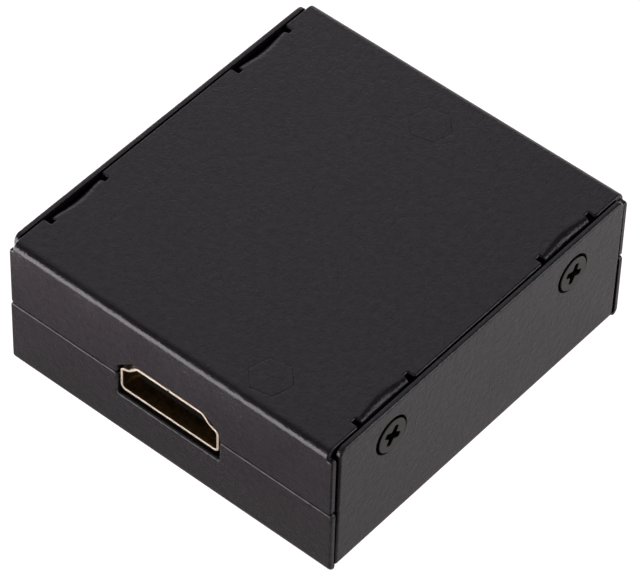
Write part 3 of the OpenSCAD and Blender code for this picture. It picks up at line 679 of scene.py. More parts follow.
@dataclass
class Skin:
    """Points and faces of one piece, gathered wall by wall in its own directions u, v and w.

    Attributes:
        points: Blocks of points.
        arris: For each block, how far each point lies on a rounded edge. 1 is an edge with the usual wear, and
            more is a painted highlight.
        faces: Blocks of faces with three or four corners.
        paint: For each block of faces, the place of its finish in the piece's list.
        count: Points so far.
    """

    points: list[Array] = field(default_factory=list)
    arris: list[Array] = field(default_factory=list)
    faces: list[Array] = field(default_factory=list)
    paint: list[Array] = field(default_factory=list)
    count: int = 0

    def put(self, points: Array, arris: Array) -> Array:
        """Adds points.

        Args:
            points: The points.
            arris: How far each of them lies on a rounded edge.

        Returns:
            Their numbers.
        """
        self.points.append(points)
        self.arris.append(arris)
        self.count += len(points)
        return np.arange(self.count - len(points), self.count)

    def wall(self, stack: Array, arris: Array | float = 0.0, paint: int | Array = 0) -> tuple[Array, Array]:
        """Joins a stack of rings into a wall of four-sided faces.

        Args:
            stack: Array of rings, points and directions.
            arris: Value of the wall, or of each ring.
            paint: Finish of the wall, or of each gap between two rings.

        Returns:
            Numbers of the first ring's points and of the last ring's.
        """
        rings, count = stack.shape[:2]
        marks = np.repeat(np.broadcast_to(arris, rings), count)
        ids = self.put(stack.reshape(-1, 3), marks).reshape(rings, count)
        beside = np.roll(ids, -1, axis=1)
        self.faces.append(np.stack([ids[:-1], ids[1:], beside[1:], beside[:-1]], axis=-1).reshape(-1, 4))
        self.paint.append(np.repeat(np.broadcast_to(paint, rings - 1), count))
        return ids[0], ids[-1]

    def cap(self, rings: list[Array], face: Face, paint: int = 0, grid: Array | None = None) -> None:
        """Fills the flat region inside the first ring and outside the others.

        Args:
            rings: Numbers of the rings' points.
            face: Which way the region looks.
            paint: Finish of the region.
            grid: Points of the plane, of which those inside the region are used.
        """
        every = np.concatenate(self.points)
        flat = [every[r, :2] for r in rings]
        inner = np.zeros((0, 2)) if grid is None else grid[clear_of(grid, flat, GRID_GAP)]
        level = np.full((len(inner), 1), every[rings[0][0], 2])
        ids = self.put(np.concatenate([inner, level], axis=1), np.zeros(len(inner)))
        tri = np.concatenate([*rings, ids])[filled(flat, inner)]
        self.faces.append(tri if face is Face.OUTER else tri[:, ::-1])
        self.paint.append(np.full(len(tri), paint))

    def placed(self, place: Place, mirrored: bool = False) -> "Skin":
        """Copy with every point carried to its place.

        Args:
            place: Gives the places of an array of points.
            mirrored: Whether the place turns the shape inside out, so that the faces are turned back.

        Returns:
            The placed copy.
        """
        points = [place(np.concatenate(self.points))]
        faces = [f[:, ::-1] if mirrored else f for f in self.faces]
        return Skin(points, list(self.arris), faces, list(self.paint), self.count)

    def joined(self, *others: "Skin") -> "Skin":
        """Puts this skin and others together.

        Args:
            *others: The other skins.

        Returns:
            All of them as one.
        """
        whole = Skin(list(self.points), list(self.arris), list(self.faces), list(self.paint), self.count)
        for other in others:
            whole.points += other.points
            whole.arris += other.arris
            whole.faces += [f + whole.count for f in other.faces]
            whole.paint += other.paint
            whole.count += other.count
        return whole

    def piece(self, name: str, slot: str, finishes: list[Material], *nodes: str) -> Object:
        """Writes the skin as an object that rides on the case and stands for CAD nodes.

        Args:
            name: Name of the piece.
            slot: Name of a material slot; not used.
            finishes: Materials of the faces.
            *nodes: CAD nodes that the piece replaces.

        Returns:
            The object.
        """
        mesh = bpy.data.meshes.new(name)
        corners = [c for f in self.faces for c in f.tolist()]
        mesh.from_pydata((np.concatenate(self.points) * MM).tolist(), [], corners)
        mesh.polygons.foreach_set("use_smooth", np.ones(len(mesh.polygons), bool))
        mesh.polygons.foreach_set("material_index", np.concatenate(self.paint).astype(np.int32))
        arris = mesh.attributes.new("arris", "FLOAT", "POINT")
        arris.data.foreach_set("value", np.concatenate(self.arris).astype(np.float32))
        for finish in finishes:
            mesh.materials.append(finish)
        mesh.update()
        obj = bpy.data.objects.new(name, mesh)
        bpy.context.scene.collection.objects.link(obj)
        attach(obj, "root")
        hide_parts(*nodes)
        LOG.info("%s: %d points, %d faces", name, len(mesh.vertices), len(mesh.polygons))
        return obj


# Sheet pieces

@dataclass
class Blank:
    """Flat cut sheet before it is folded: its outer face at w = 0 and its inner face at w = -sheet.

    Attributes:
        outline: Rows of u, v and corner radius, anticlockwise.
        sheet: Thickness.
        rim: Radius of the cut edges on the outer face.
        u_lines: Values of u at which the sheet is divided.
        v_lines: Values of v at which the sheet is divided.
        inner_paint: Finish of the inner face.
        inner_rim: Radius of the cut edges on the inner face, if it is another.
        holes: Rings that line each hole, clockwise, from the outer face to the inner, their arris values and
            the finish of each wall.
    """

    outline: Array
    sheet: float
    rim: float
    u_lines: Array = field(default_factory=lambda: np.zeros(0))
    v_lines: Array = field(default_factory=lambda: np.zeros(0))
    inner_paint: int = 0
    inner_rim: float | None = None
    holes: list[tuple[Array, Array | float, int | Array]] = field(default_factory=list)

    def bore(self, middle: Spot, rows: Array, count: int = 48, paint: int | Array = 0) -> None:
        """Adds a round hole whose wall follows rows of radius and depth."""
        self.holes.append((round_stack(rows, middle, count, hole=True), 0.0, paint))

    def window(self, corners: Array) -> None:
        """Adds a hole with rounded edges inside an outline given anticlockwise."""
        rows, arris = rim_rows(self.sheet, self.rim, steps=2)
        self.holes.append((rim_stack(densified(rounded_loop(corners, 3), LONG_RUN)[::-1], rows), arris, 0))

    def skin(self) -> Skin:
        """Works out the sheet's cut edges, holes and both faces.

        Returns:
            The sheet, still flat.
        """
        loop = split_at(split_at(rounded_loop(self.outline), 0, self.u_lines), 1, self.v_lines)
        rows, arris = rim_rows(self.sheet, self.rim, self.inner_rim)
        made = Skin()
        ends = [made.wall(rim_stack(densified(loop, LONG_RUN), rows), arris)]
        ends += [made.wall(*hole) for hole in self.holes]
        grid = np.stack(np.meshgrid(self.u_lines, self.v_lines), axis=-1).reshape(-1, 2)
        made.cap([e[0] for e in ends], Face.OUTER, grid=grid)
        made.cap([e[1] for e in ends], Face.INNER, self.inner_paint, grid)
        return made


def fold_over(run: Array, w: Array, radius: float) -> tuple[Array, Array]:
    """Carries a sheet over a right-angled fold.

    Up to the fold line the sheet is flat. Over the fold, the angle is the run over the radius, the reach is
    (radius + w) sin of it, and the drop is the radius less (radius + w) cos of it. Beyond, it goes straight.

    Args:
        run: Distance from the fold line, along the outer face.
        w: Height in the sheet, 0 on the outer face and negative inside.
        radius: Outer radius of the fold.

    Returns:
        Reach beyond the fold line, and drop below the outer face's plane.
    """
    arc = 0.5 * np.pi * radius
    angle = np.clip(run, 0, arc) / radius
    reach = np.where(run > 0, (radius + w) * np.sin(angle), run)
    return reach, radius - (radius + w) * np.cos(angle) + np.maximum(run - arc, 0)


@dataclass(frozen=True)
class Case:
    """Sizes that the pieces share.

    Attributes:
        width: Width over the side plates.
        depth: Depth over the flanges.
        height: Height.
        sheet: Thickness of the coated sheet.
        fold: Outer radius of the folds.
        burr: Radius of the coated cut edges on the inner faces.
        seam: Height of the upper flanges' lower edge.
        seam_gap: Gap under it.
        flange_lines: Divisions of the flanges on a blank.
        port_z: Height of the receptacles' middle.
        port_in: How far their mouths lie behind the flanges' faces.
        port_half: Half width of a receptacle's cut-out.
        output_x: Distance of the outputs from the middle.
        tab_y: Distance of the screws from the middle.
        screw_z: Height of the screws.
        lamp: Place of the lamp along the left side and in height.
        posts: Places of the standoffs.
        hex_turn: Turn of the standoffs' hexagons.
        hex_across: Their width across flats.
        hex_corner: Radius of their corners.
    """

    width: float = 48.0
    depth: float = 52.0
    height: float = 20.0
    sheet: float = 0.7
    fold: float = 1.05
    burr: float = 0.06
    seam: float = 9.95
    seam_gap: float = 0.14
    flange_lines: tuple[float, ...] = (-32.0, -29.0, 29.0, 32.0)
    port_z: float = 10.0
    port_in: float = 0.3
    port_half: float = 7.6
    output_x: float = 11.3
    tab_y: float = 16.0
    screw_z: float = 15.0
    lamp: Spot = (9.0, 10.255)
    posts: tuple[Spot, ...] = ((11.4, -21.7), (0.0, 19.5))
    hex_turn: float = 13.0
    hex_across: float = 4.85
    hex_corner: float = 0.12

    @property
    def arc(self) -> float:
        """Length of a fold's outer arc."""
        return 0.5 * np.pi * self.fold

    @property
    def end_line(self) -> float:
        """Distance of the flanges' fold lines from the middle."""
        return self.depth / 2 - self.fold

    @property
    def ports(self) -> tuple[tuple[float, ...], tuple[float, ...]]:
        """Places of the receptacles in the front flanges and in the rear ones."""
        return (0.0,), (-self.output_x, self.output_x)

    def past_fold(self, line: float, drop: float) -> float:
        """Distance on a blank of a point that lies beyond the fold at a line, a drop below the sheet."""
        return line + self.arc + drop - self.fold

    def fold_lines(self, line: float) -> Array:
        """Divides two opposite folds, with one more division on each side to keep the flats flat.

        Args:
            line: Distance of the folds' start from the middle.

        Returns:
            The divisions of both folds.
        """
        over = line + self.arc * np.linspace(0, 1, 15)
        lines = np.concatenate([[line - 0.05], over, [line + self.arc + 0.05]])
        return np.concatenate([-lines[::-1], lines])

    def hex_rings(self, grown: tuple[float, ...], radii: tuple[float, ...]) -> Array:
        """Rings of a standoff: its hexagon grown by some distances, and circles with as many points.

        Args:
            grown: Distances by which the hexagon's flats move out.
            radii: Radii of the circles.

        Returns:
            Array of rings and points, anticlockwise.
        """
        g = np.radians(60 * np.arange(6) + self.hex_turn)
        flat = self.hex_across / np.sqrt(3) * np.stack([np.cos(g), np.sin(g)], axis=1)
        hexagon = densified(rounded_loop(np.column_stack([flat, np.full(6, self.hex_corner)]), 3), 0.5)
        ring = hexagon / np.linalg.norm(hexagon, axis=1, keepdims=True)
        hexagons = [hexagon * (1 + 2 * out / self.hex_across) for out in grown]
        return np.stack(hexagons + [ring * r for r in radii])


def both_ends(front: list[Corner], rear: list[Corner]) -> Array:
    """Outline made of its front and right side, and of the rear and left side turned by half a circle."""
    return np.array(front + [(-u, -v, r) for u, v, r in rear])


@dataclass
class UpperShell:
    """Plate with two flanges, four drawn-in screw tabs and two pressed-in standoffs' pockets.

    Attributes:
        case: Shared sizes.
        plate_right: Distance of the plate's right edge from the middle.
        plate_left: Distance of its left edge.
        ear_half: Half width of the flanges.
        ear_top: Height at which the flanges widen.
        port_wide: Height up to which a receptacle's cut-out keeps its width.
        port_top: Height of the cut-out's upper edge.
        port_slope: How far the cut-out narrows on each side.
        tab_half: Half width of a tab.
        tab_low: Height of a tab's lower edge.
        tab_out: Distance of a tab's outer face from the middle.
        notch: Width of a relief notch.
        notch_in: Distance of a notch's inner end from the middle.
        tab_fold: Outer radius of a tab's fold at its ends and at its middle.
        rim: Radius of the cut edges on the outer face.
        ear_r: Radius of the flanges' corners.
        plate_r: Radius of the corners between the plate and the flanges.
        port_r: Radius of a cut-out's corners at the seam and inside.
        notch_r: Radius of a notch's corners at the plate's edge and inside.
        tab_r: Radius of a tab's lower corners.
    """

    case: Case
    plate_right: float = 23.15
    plate_left: float = 23.27
    ear_half: float = 23.85
    ear_top: float = 18.8
    port_wide: float = 11.15
    port_top: float = 12.875
    port_slope: float = 2.2
    tab_half: float = 4.1
    tab_low: float = 11.0
    tab_out: float = 23.1
    notch: float = 0.68
    notch_in: float = 22.1
    tab_fold: Spot = (0.95, 1.55)
    rim: float = 0.26
    ear_r: float = 0.4
    plate_r: float = 0.1
    port_r: Spot = (0.35, 0.2)
    notch_r: Spot = (0.35, 0.12)
    tab_r: float = 1.0

    def flange_v(self, z: float) -> float:
        """Distance on the blank of a flange's point at height z."""
        return self.case.past_fold(self.case.end_line, self.case.height - z)

    def tab_u(self, z: float) -> float:
        """Distance on the blank of a tab's point at height z."""
        return self.case.past_fold(self.tab_out - self.case.fold, self.case.height - z)

    def half_outline(self, ports: tuple[float, ...], plate: float) -> list[Corner]:
        """Front flange's lower edge and the right side up to the rear flange's ear.

        Args:
            ports: Places of the receptacles in the front flange.
            plate: Distance of the plate's edge from the middle.

        Returns:
            Rows of u, v and corner radius.
        """
        c, low, ear = self.case, -self.flange_v(self.case.seam), self.flange_v(self.ear_top)
        wide, top = -self.flange_v(self.port_wide), -self.flange_v(self.port_top)
        tip, ear_r = self.tab_u(self.tab_low), self.ear_r
        (seam_r, port_r), (open_r, notch_r) = self.port_r, self.notch_r
        rows = [(-self.ear_half, low, ear_r)]
        for p in ports:
            u = p - c.port_half
            left = [(u, low, seam_r), (u, wide, port_r), (u + self.port_slope, top, port_r)]
            rows += left + [(2 * p - u, v, r) for u, v, r in left[::-1]]
        rows += [(self.ear_half, low, ear_r), (self.ear_half, -ear, ear_r), (plate, -ear, self.plate_r)]
        for y in (-c.tab_y, c.tab_y):
            near, far = y - self.tab_half, y + self.tab_half
            before, after = near - self.notch, far + self.notch
            rows += [(plate, before, open_r), (self.notch_in, before, notch_r),
                     (self.notch_in, near, notch_r), (tip, near, self.tab_r), (tip, far, self.tab_r),
                     (self.notch_in, far, notch_r), (self.notch_in, after, notch_r), (plate, after, open_r)]
        return rows + [(plate, ear, self.plate_r), (self.ear_half, ear, ear_r)]

    def blank(self) -> Blank:
        """Lays out the flat cut sheet with its holes and divisions.

        Returns:
            The sheet.
        """
        c, (front, rear) = self.case, self.case.ports
        fold = self.tab_out - self.tab_fold[1] + np.arange(-0.1, 4.2, 0.14)
        wall = fold[-1] + np.arange(0.6, 7, 0.6)
        tabs = (np.linspace(-self.tab_half, self.tab_half, 29)[:, None] + [-c.tab_y, c.tab_y]).ravel()
        u = divisions(np.arange(-20, 20.5, 0.8), fold, -fold, wall, -wall)
        v = divisions(np.arange(-10, 11, 2.0), tabs, c.fold_lines(c.end_line), c.flange_lines)
        outline = both_ends(self.half_outline(front, self.plate_right),
                            self.half_outline(rear, self.plate_left))
        made = Blank(outline, c.sheet, self.rim, u, v, inner_rim=c.burr)
        collar = np.array([(2.0, 0), (1.95, 0), (1.9, 0.02), (1.3, 0.62), (1.3, 1.54), (1.36, 1.6),
                           (2.04, 1.6), (2.1, 1.54), (2.1, 0.8), (2.2, 0.7), (2.3, 0.7)])
        for y in (-c.tab_y, c.tab_y):
            for side in Side:
                made.bore((side.value * self.tab_u(c.screw_z), y), collar)
        # A standoff's seat is a hexagon that goes over into a round hole half way down.
        seat = c.hex_rings((0.7, 0.4, 0.2, 0.1, 0.04, 0.0, 0.0), (2.15, 2.15, 2.2, 2.3))[:, ::-1]
        depth = np.array([0, 0.002, 0.005, 0.008, 0.011, 0.014, 0.5, 0.5, 0.67, 0.7, 0.7])
        made.holes += [(sunk(seat + np.asarray(post), depth), 0.0, 0) for post in c.posts]
        return made

    def folded(self, flat: Array) -> Array:
        """Blank carried over its folds.

        The flanges go over the end folds and the tabs over the side folds. A tab's fold is rounder at its
        middle: its radius R grows by (1 - (dv / half width) squared) squared, and its angle is a right angle
        times the share of the run from the fold's start to where the wall reaches R below the top.

        Args:
            flat: Points of the blank.

        Returns:
            Points of the shell.
        """
        c = self.case
        u, v, w = flat.T
        reach_v, drop_v = fold_over(np.abs(v) - c.end_line, w, c.fold)
        off = np.abs(np.abs(v) - c.tab_y)
        tab = off < self.tab_half + self.notch / 2
        tight, wide = self.tab_fold
        radius = tight + (wide - tight) * np.maximum(1 - (off / self.tab_half) ** 2, 0) ** 2
        start, end = self.tab_out - radius, self.tab_u(c.height) + radius
        angle = 0.5 * np.pi * np.clip((np.abs(u) - start) / (end - start), 0, 1)
        reach = np.minimum(np.abs(u), start) + (radius + w) * np.sin(angle)
        drop = radius - (radius + w) * np.cos(angle) + np.maximum(np.abs(u) - end, 0)
        x = np.where(tab, np.sign(u) * reach, u)
        z = c.height - np.where(tab, drop, drop_v)
        return np.stack([x, np.sign(v) * (c.end_line + reach_v), z], axis=1)

    def build(self, finishes: Finishes) -> Object:
        """Folds the blank and writes the shell."""
        made = self.blank().skin().placed(self.folded)
        return made.piece("upper_case_shell", "coated_sheet", finishes.of(POWDER), "upper_shell")


@dataclass
class LowerShell:
    """Base with two low flanges and two tall side plates, bored for the screws, the power jack and the lamp.

    Attributes:
        case: Shared sizes.
        side_half: Half length of a side plate.
        fold_half: Half length of a side plate's fold.
        side_lines: Divisions of the side plates on the blank.
        sill: Height of the receptacle cut-outs' lower edge.
        jack_z: Height of the power jack.
        jack_r: Radius of its hole.
        lamp_r: Radius of the lamp's hole.
        lean: How far the side plates spread at the top.
        ring_off: How far the coined rings lie off the screws, along the side and in height.
        rim: Radius of the cut edges on the outer face.
        edge_r: Radius of the flanges' corners and of the step's.
        port_r: Radius of a cut-out's lower corners.
        relief_r: Radius of the corners between the folds.
        side_r: Radius of the side plates' upper corners.
        step_z: Heights between which a side plate grows from its fold's length to its own.
        edge_highlight: How much stronger the painted highlight of lighter colour is on the flanges' edges.
        edge_highlight_z: Height above which the flanges' edges take it.
    """

    case: Case
    side_half: float = 24.94
    fold_half: float = 24.9
    side_lines: tuple[float, ...] = (-38.0, -33.0, -28.0, 28.0, 33.0, 38.0)
    sill: float = 6.595
    jack_z: float = 6.155
    jack_r: float = 4.0
    lamp_r: float = 1.3
    lean: float = 0.14
    ring_off: Spot = (-0.18, 0.24)
    rim: float = 0.31
    edge_r: float = 0.5
    port_r: float = 0.2
    relief_r: float = 0.02
    side_r: float = 1.0
    step_z: Spot = (1.1, 1.7)
    edge_highlight: float = 5.0
    edge_highlight_z: float = 2.0

    @property
    def side_line(self) -> float:
        """Distance of the side plates' fold lines from the middle."""
        return self.case.width / 2 - self.case.fold

    def flange_v(self, z: float) -> float:
        """Distance on the blank of a flange's point at height z."""
        return self.case.past_fold(self.case.end_line, z)

    def side_u(self, z: float) -> float:
        """Distance on the blank of a side plate's point at height z."""
        return self.case.past_fold(self.side_line, z)

    def half_outline(self, ports: tuple[float, ...]) -> list[Corner]:
        """Front flange's upper edge and the right side plate.

        Args:
            ports: Places of the receptacles in the front flange.

        Returns:
            Rows of u, v and corner radius.
        """
        c, half, edge = self.case, self.case.width / 2, self.edge_r
        top, sill = -self.flange_v(c.seam - c.seam_gap), -self.flange_v(self.sill)
        low, high = (self.side_u(z) for z in self.step_z)
        rows = [(-half, top, edge)]
        for p in ports:
            left, right = p - c.port_half, p + c.port_half
            rows += [(left, top, edge), (left, sill, self.port_r), (right, sill, self.port_r),
                     (right, top, edge)]
        front = [(half, -c.end_line, edge), (self.side_line, -c.end_line, self.relief_r),
                 (self.side_line, -self.fold_half, self.relief_r), (low, -self.fold_half, edge),
                 (high, -self.side_half, edge), (self.side_u(c.height), -self.side_half, self.side_r)]
        return rows + [(half, top, edge)] + front + [(u, -v, r) for u, v, r in front[::-1]]

    def blank(self) -> Blank:
        """Lays out the flat cut sheet with its holes and divisions.

        Returns:
            The sheet.
        """
        c, (front, rear) = self.case, self.case.ports
        u = divisions(np.arange(-22, 22.5, 1.0), c.fold_lines(self.side_line), self.side_lines)
        v = divisions(np.arange(-24, 24.5, 1.0), c.fold_lines(c.end_line), c.flange_lines)
        outline = both_ends(self.half_outline(front), self.half_outline(rear))
        made = Blank(outline, c.sheet, self.rim, u, v, inner_rim=c.burr)
        seat = np.array([(2.72, 0), (2.67, 0), (2.63, 0.02), (2.61, 0.065), (2.6, 0.1), (2.44, 0.3),
                         (2.0, 0.7), (2.1, 0.7)])
        # The seat's deeper rows take the second finish, near-black painted shade round the screw head.
        shaded = np.array([0, 0, 0, 1, 1, 1, 1])
        for y in (-c.tab_y, c.tab_y):
            for side in Side:
                place = (side.value * (self.side_u(c.screw_z) + self.ring_off[1]), y + self.ring_off[0])
                made.bore(place, seat, 72, shaded)
        rows, _ = rim_rows(c.sheet, self.rim / 2, c.burr)
        made.bore((-self.side_u(self.jack_z), 0.0), rows + [self.jack_r, 0], 72)
        made.bore((-self.side_u(c.lamp[1]), c.lamp[0]), rows + [self.lamp_r, 0])
        return made

    def folded(self, flat: Array) -> Array:
        """Blank carried over its folds: the flanges over the end folds, the side plates over the side folds.

        The side plates spread evenly from the fold to the top.

        Args:
            flat: Points of the blank.

        Returns:
            Points of the shell.
        """
        c = self.case
        u, v, w = flat.T
        reach_v, rise_v = fold_over(np.abs(v) - c.end_line, w, c.fold)
        reach_u, rise_u = fold_over(np.abs(u) - self.side_line, w, c.fold)
        side = (np.abs(v) < (c.end_line + self.fold_half) / 2) | (np.abs(u) > c.width / 2 + 0.05)
        spread = self.lean * np.clip((rise_u - c.fold) / (c.height - c.fold), 0, 1)
        x = np.where(side, np.sign(u) * (self.side_line + reach_u + spread), u)
        return np.stack([x, np.sign(v) * (c.end_line + reach_v), np.where(side, rise_u, rise_v)], axis=1)

    def build(self, finishes: Finishes) -> Object:
        """Folds the blank and writes the shell. The flanges' edges get a painted highlight of lighter colour.

        Args:
            finishes: Materials of the model.

        Returns:
            The shell.
        """
        flat = self.blank().skin()
        # Painted highlight: the flanges' edges take the lighter edge colour several times as strongly as worn
        # edges do.
        flange = np.abs(flat.points[0][:, 1]) > self.flange_v(self.edge_highlight_z)
        flat.arris[0] = flat.arris[0] * np.where(flange, self.edge_highlight, 1.0)
        made = flat.placed(self.folded, mirrored=True)
        return made.piece("lower_case_shell", "coated_sheet", finishes.of(POWDER, SHADE), "lower_shell")


# Fasteners, receptacles and lamp

@dataclass
class CaseScrews:
    """Four countersunk screws with a cross recess.

    Attributes:
        case: Shared sizes.
        face: Distance of the heads' faces from the middle.
        head: Radius of a head.
        shank: Radius of a shank.
        length: Length from the face to the tip.
        wing: Half span of the cross.
        web: Half width of a wing.
        wing_r: Radius of a wing's end corners.
        throat: How far the corners between two wings are filled, and their radius.
        turns: Turn of the cross of the front and of the rear screws.
    """

    case: Case
    face: float = 24.15
    head: float = 2.27
    shank: float = 1.25
    length: float = 4.0
    wing: float = 1.42
    web: float = 0.36
    wing_r: float = 0.24
    throat: Spot = (0.1, 0.16)
    turns: Spot = (-31.0, -23.0)

    def recess(self) -> Array:
        """Lays out the cross: one wing and the corner beside it, turned four times by a right angle.

        Returns:
            Its outline, anticlockwise, with its inner corners rounded.
        """
        a, b, inner = self.wing, self.web, self.web + self.throat[0]
        arm = np.array([(a, -b, self.wing_r), (a, b, self.wing_r), (inner, inner, self.throat[1])])
        arms = [np.column_stack([turned(arm[:, :2], 90 * k), arm[:, 2]]) for k in range(4)]
        return densified(rounded_loop(np.concatenate(arms), 4), 0.3)

    def skin(self) -> Skin:
        """Works out one screw that points down: a turned head and shank, and the wall of the cross.

        Returns:
            The screw with its face at w = 0.
        """
        h, s, end = self.head, self.shank, self.length
        rows = np.array([(h - 0.16, 0), (h - 0.11, 0), (h - 0.05, 0.015), (h, 0.08), (h, 0.12),
                         (s, 0.12 + h - s), (s, end - 0.3), (s - 0.3, end), (s - 0.35, end)])
        slot = np.array([(0.09, 0.0), (0.05, 0.0), (0.015, 0.015), (0.0, 0.05), (-0.05, 0.5), (-0.11, 0.96),
                         (-0.15, 1.0)])
        made = Skin()
        top, tip = made.wall(round_stack(rows, count=72), np.array([0, 0.3, 1, 0.3, 0, 0, 0, 0, 0]))
        # The recess's deeper walls and its floor take the second finish, near-black painted shade.
        arris, shaded = np.array([0, 0.4, 1, 0.4, 0, 0, 0]), np.array([0, 0, 0, 1, 1, 1])
        mouth, floor = made.wall(rim_stack(self.recess()[::-1], slot), arris, shaded)
        made.cap([top, mouth], Face.OUTER)
        made.cap([floor[::-1]], Face.OUTER, 1)
        made.cap([tip], Face.INNER)
        return made

    def build(self, finishes: Finishes) -> Object:
        """Sets the four screws into the side plates.

        Args:
            finishes: Materials of the model.

        Returns:
            The screws.
        """
        one, whole = self.skin(), Skin()
        for turn, y in zip(self.turns, (-self.case.tab_y, self.case.tab_y)):
            for side in Side:
                def place(p: Array, turn: float = turn, y: float = y, x: int = side.value) -> Array:
                    """Turns a screw about its axis and points it into the side plate."""
                    flat = turned(p[:, :2], turn) + [y, self.case.screw_z]
                    return np.column_stack([x * (self.face + p[:, 2]), flat])
                whole = whole.joined(one.placed(place, mirrored=side is Side.LEFT))
        return whole.piece("case_screw_set", "screw_steel", finishes.of(BLACKED, SHADE), "case_screws")


@dataclass
class Standoffs:
    """Two hexagon-headed standoffs pressed into the plate and coated over with it.

    Attributes:
        case: Shared sizes.
        foot: Height of the barrels' lower end.
    """

    case: Case
    foot: float = 14.255

    def skin(self) -> Skin:
        """Works out one standoff: a hexagon that goes over into a round, bored barrel.

        Returns:
            The standoff with its head at w = 0.
        """
        deep = self.case.height - self.foot
        rings = self.case.hex_rings((-0.3, -0.2, -0.1, 0.0, 0.0), (2.1, 2.1, 2.0, 1.4, 1.3, 1.3))
        depth = np.array([0.001, 0.003, 0.007, 0.014, 0.5, 0.5, deep - 0.1, deep, deep, deep - 0.1, 1.2])
        arris = np.array([0, 0.4, 0.8, 0.4, 0, 0, 0, 0, 0, 0, 0])
        bare = np.array([0, 0, 0, 0, 1, 1, 1, 1, 1, 1])
        made = Skin()
        top, end = made.wall(sunk(rings, depth), arris, bare)
        made.cap([top], Face.OUTER)
        made.cap([end], Face.INNER, 1)
        return made

    def build(self, finishes: Finishes) -> Object:
        """Presses both standoffs into the plate.

        Args:
            finishes: Materials of the model.

        Returns:
            The standoffs.
        """
        places = [np.array([x, y, self.case.height]) for x, y in self.case.posts]
        whole = Skin().joined(*(self.skin().placed(lambda p, at=at: p + at) for at in places))
        return whole.piece("standoff_pair", "post_steel", finishes.of(POWDER, STEEL), "board_standoffs")


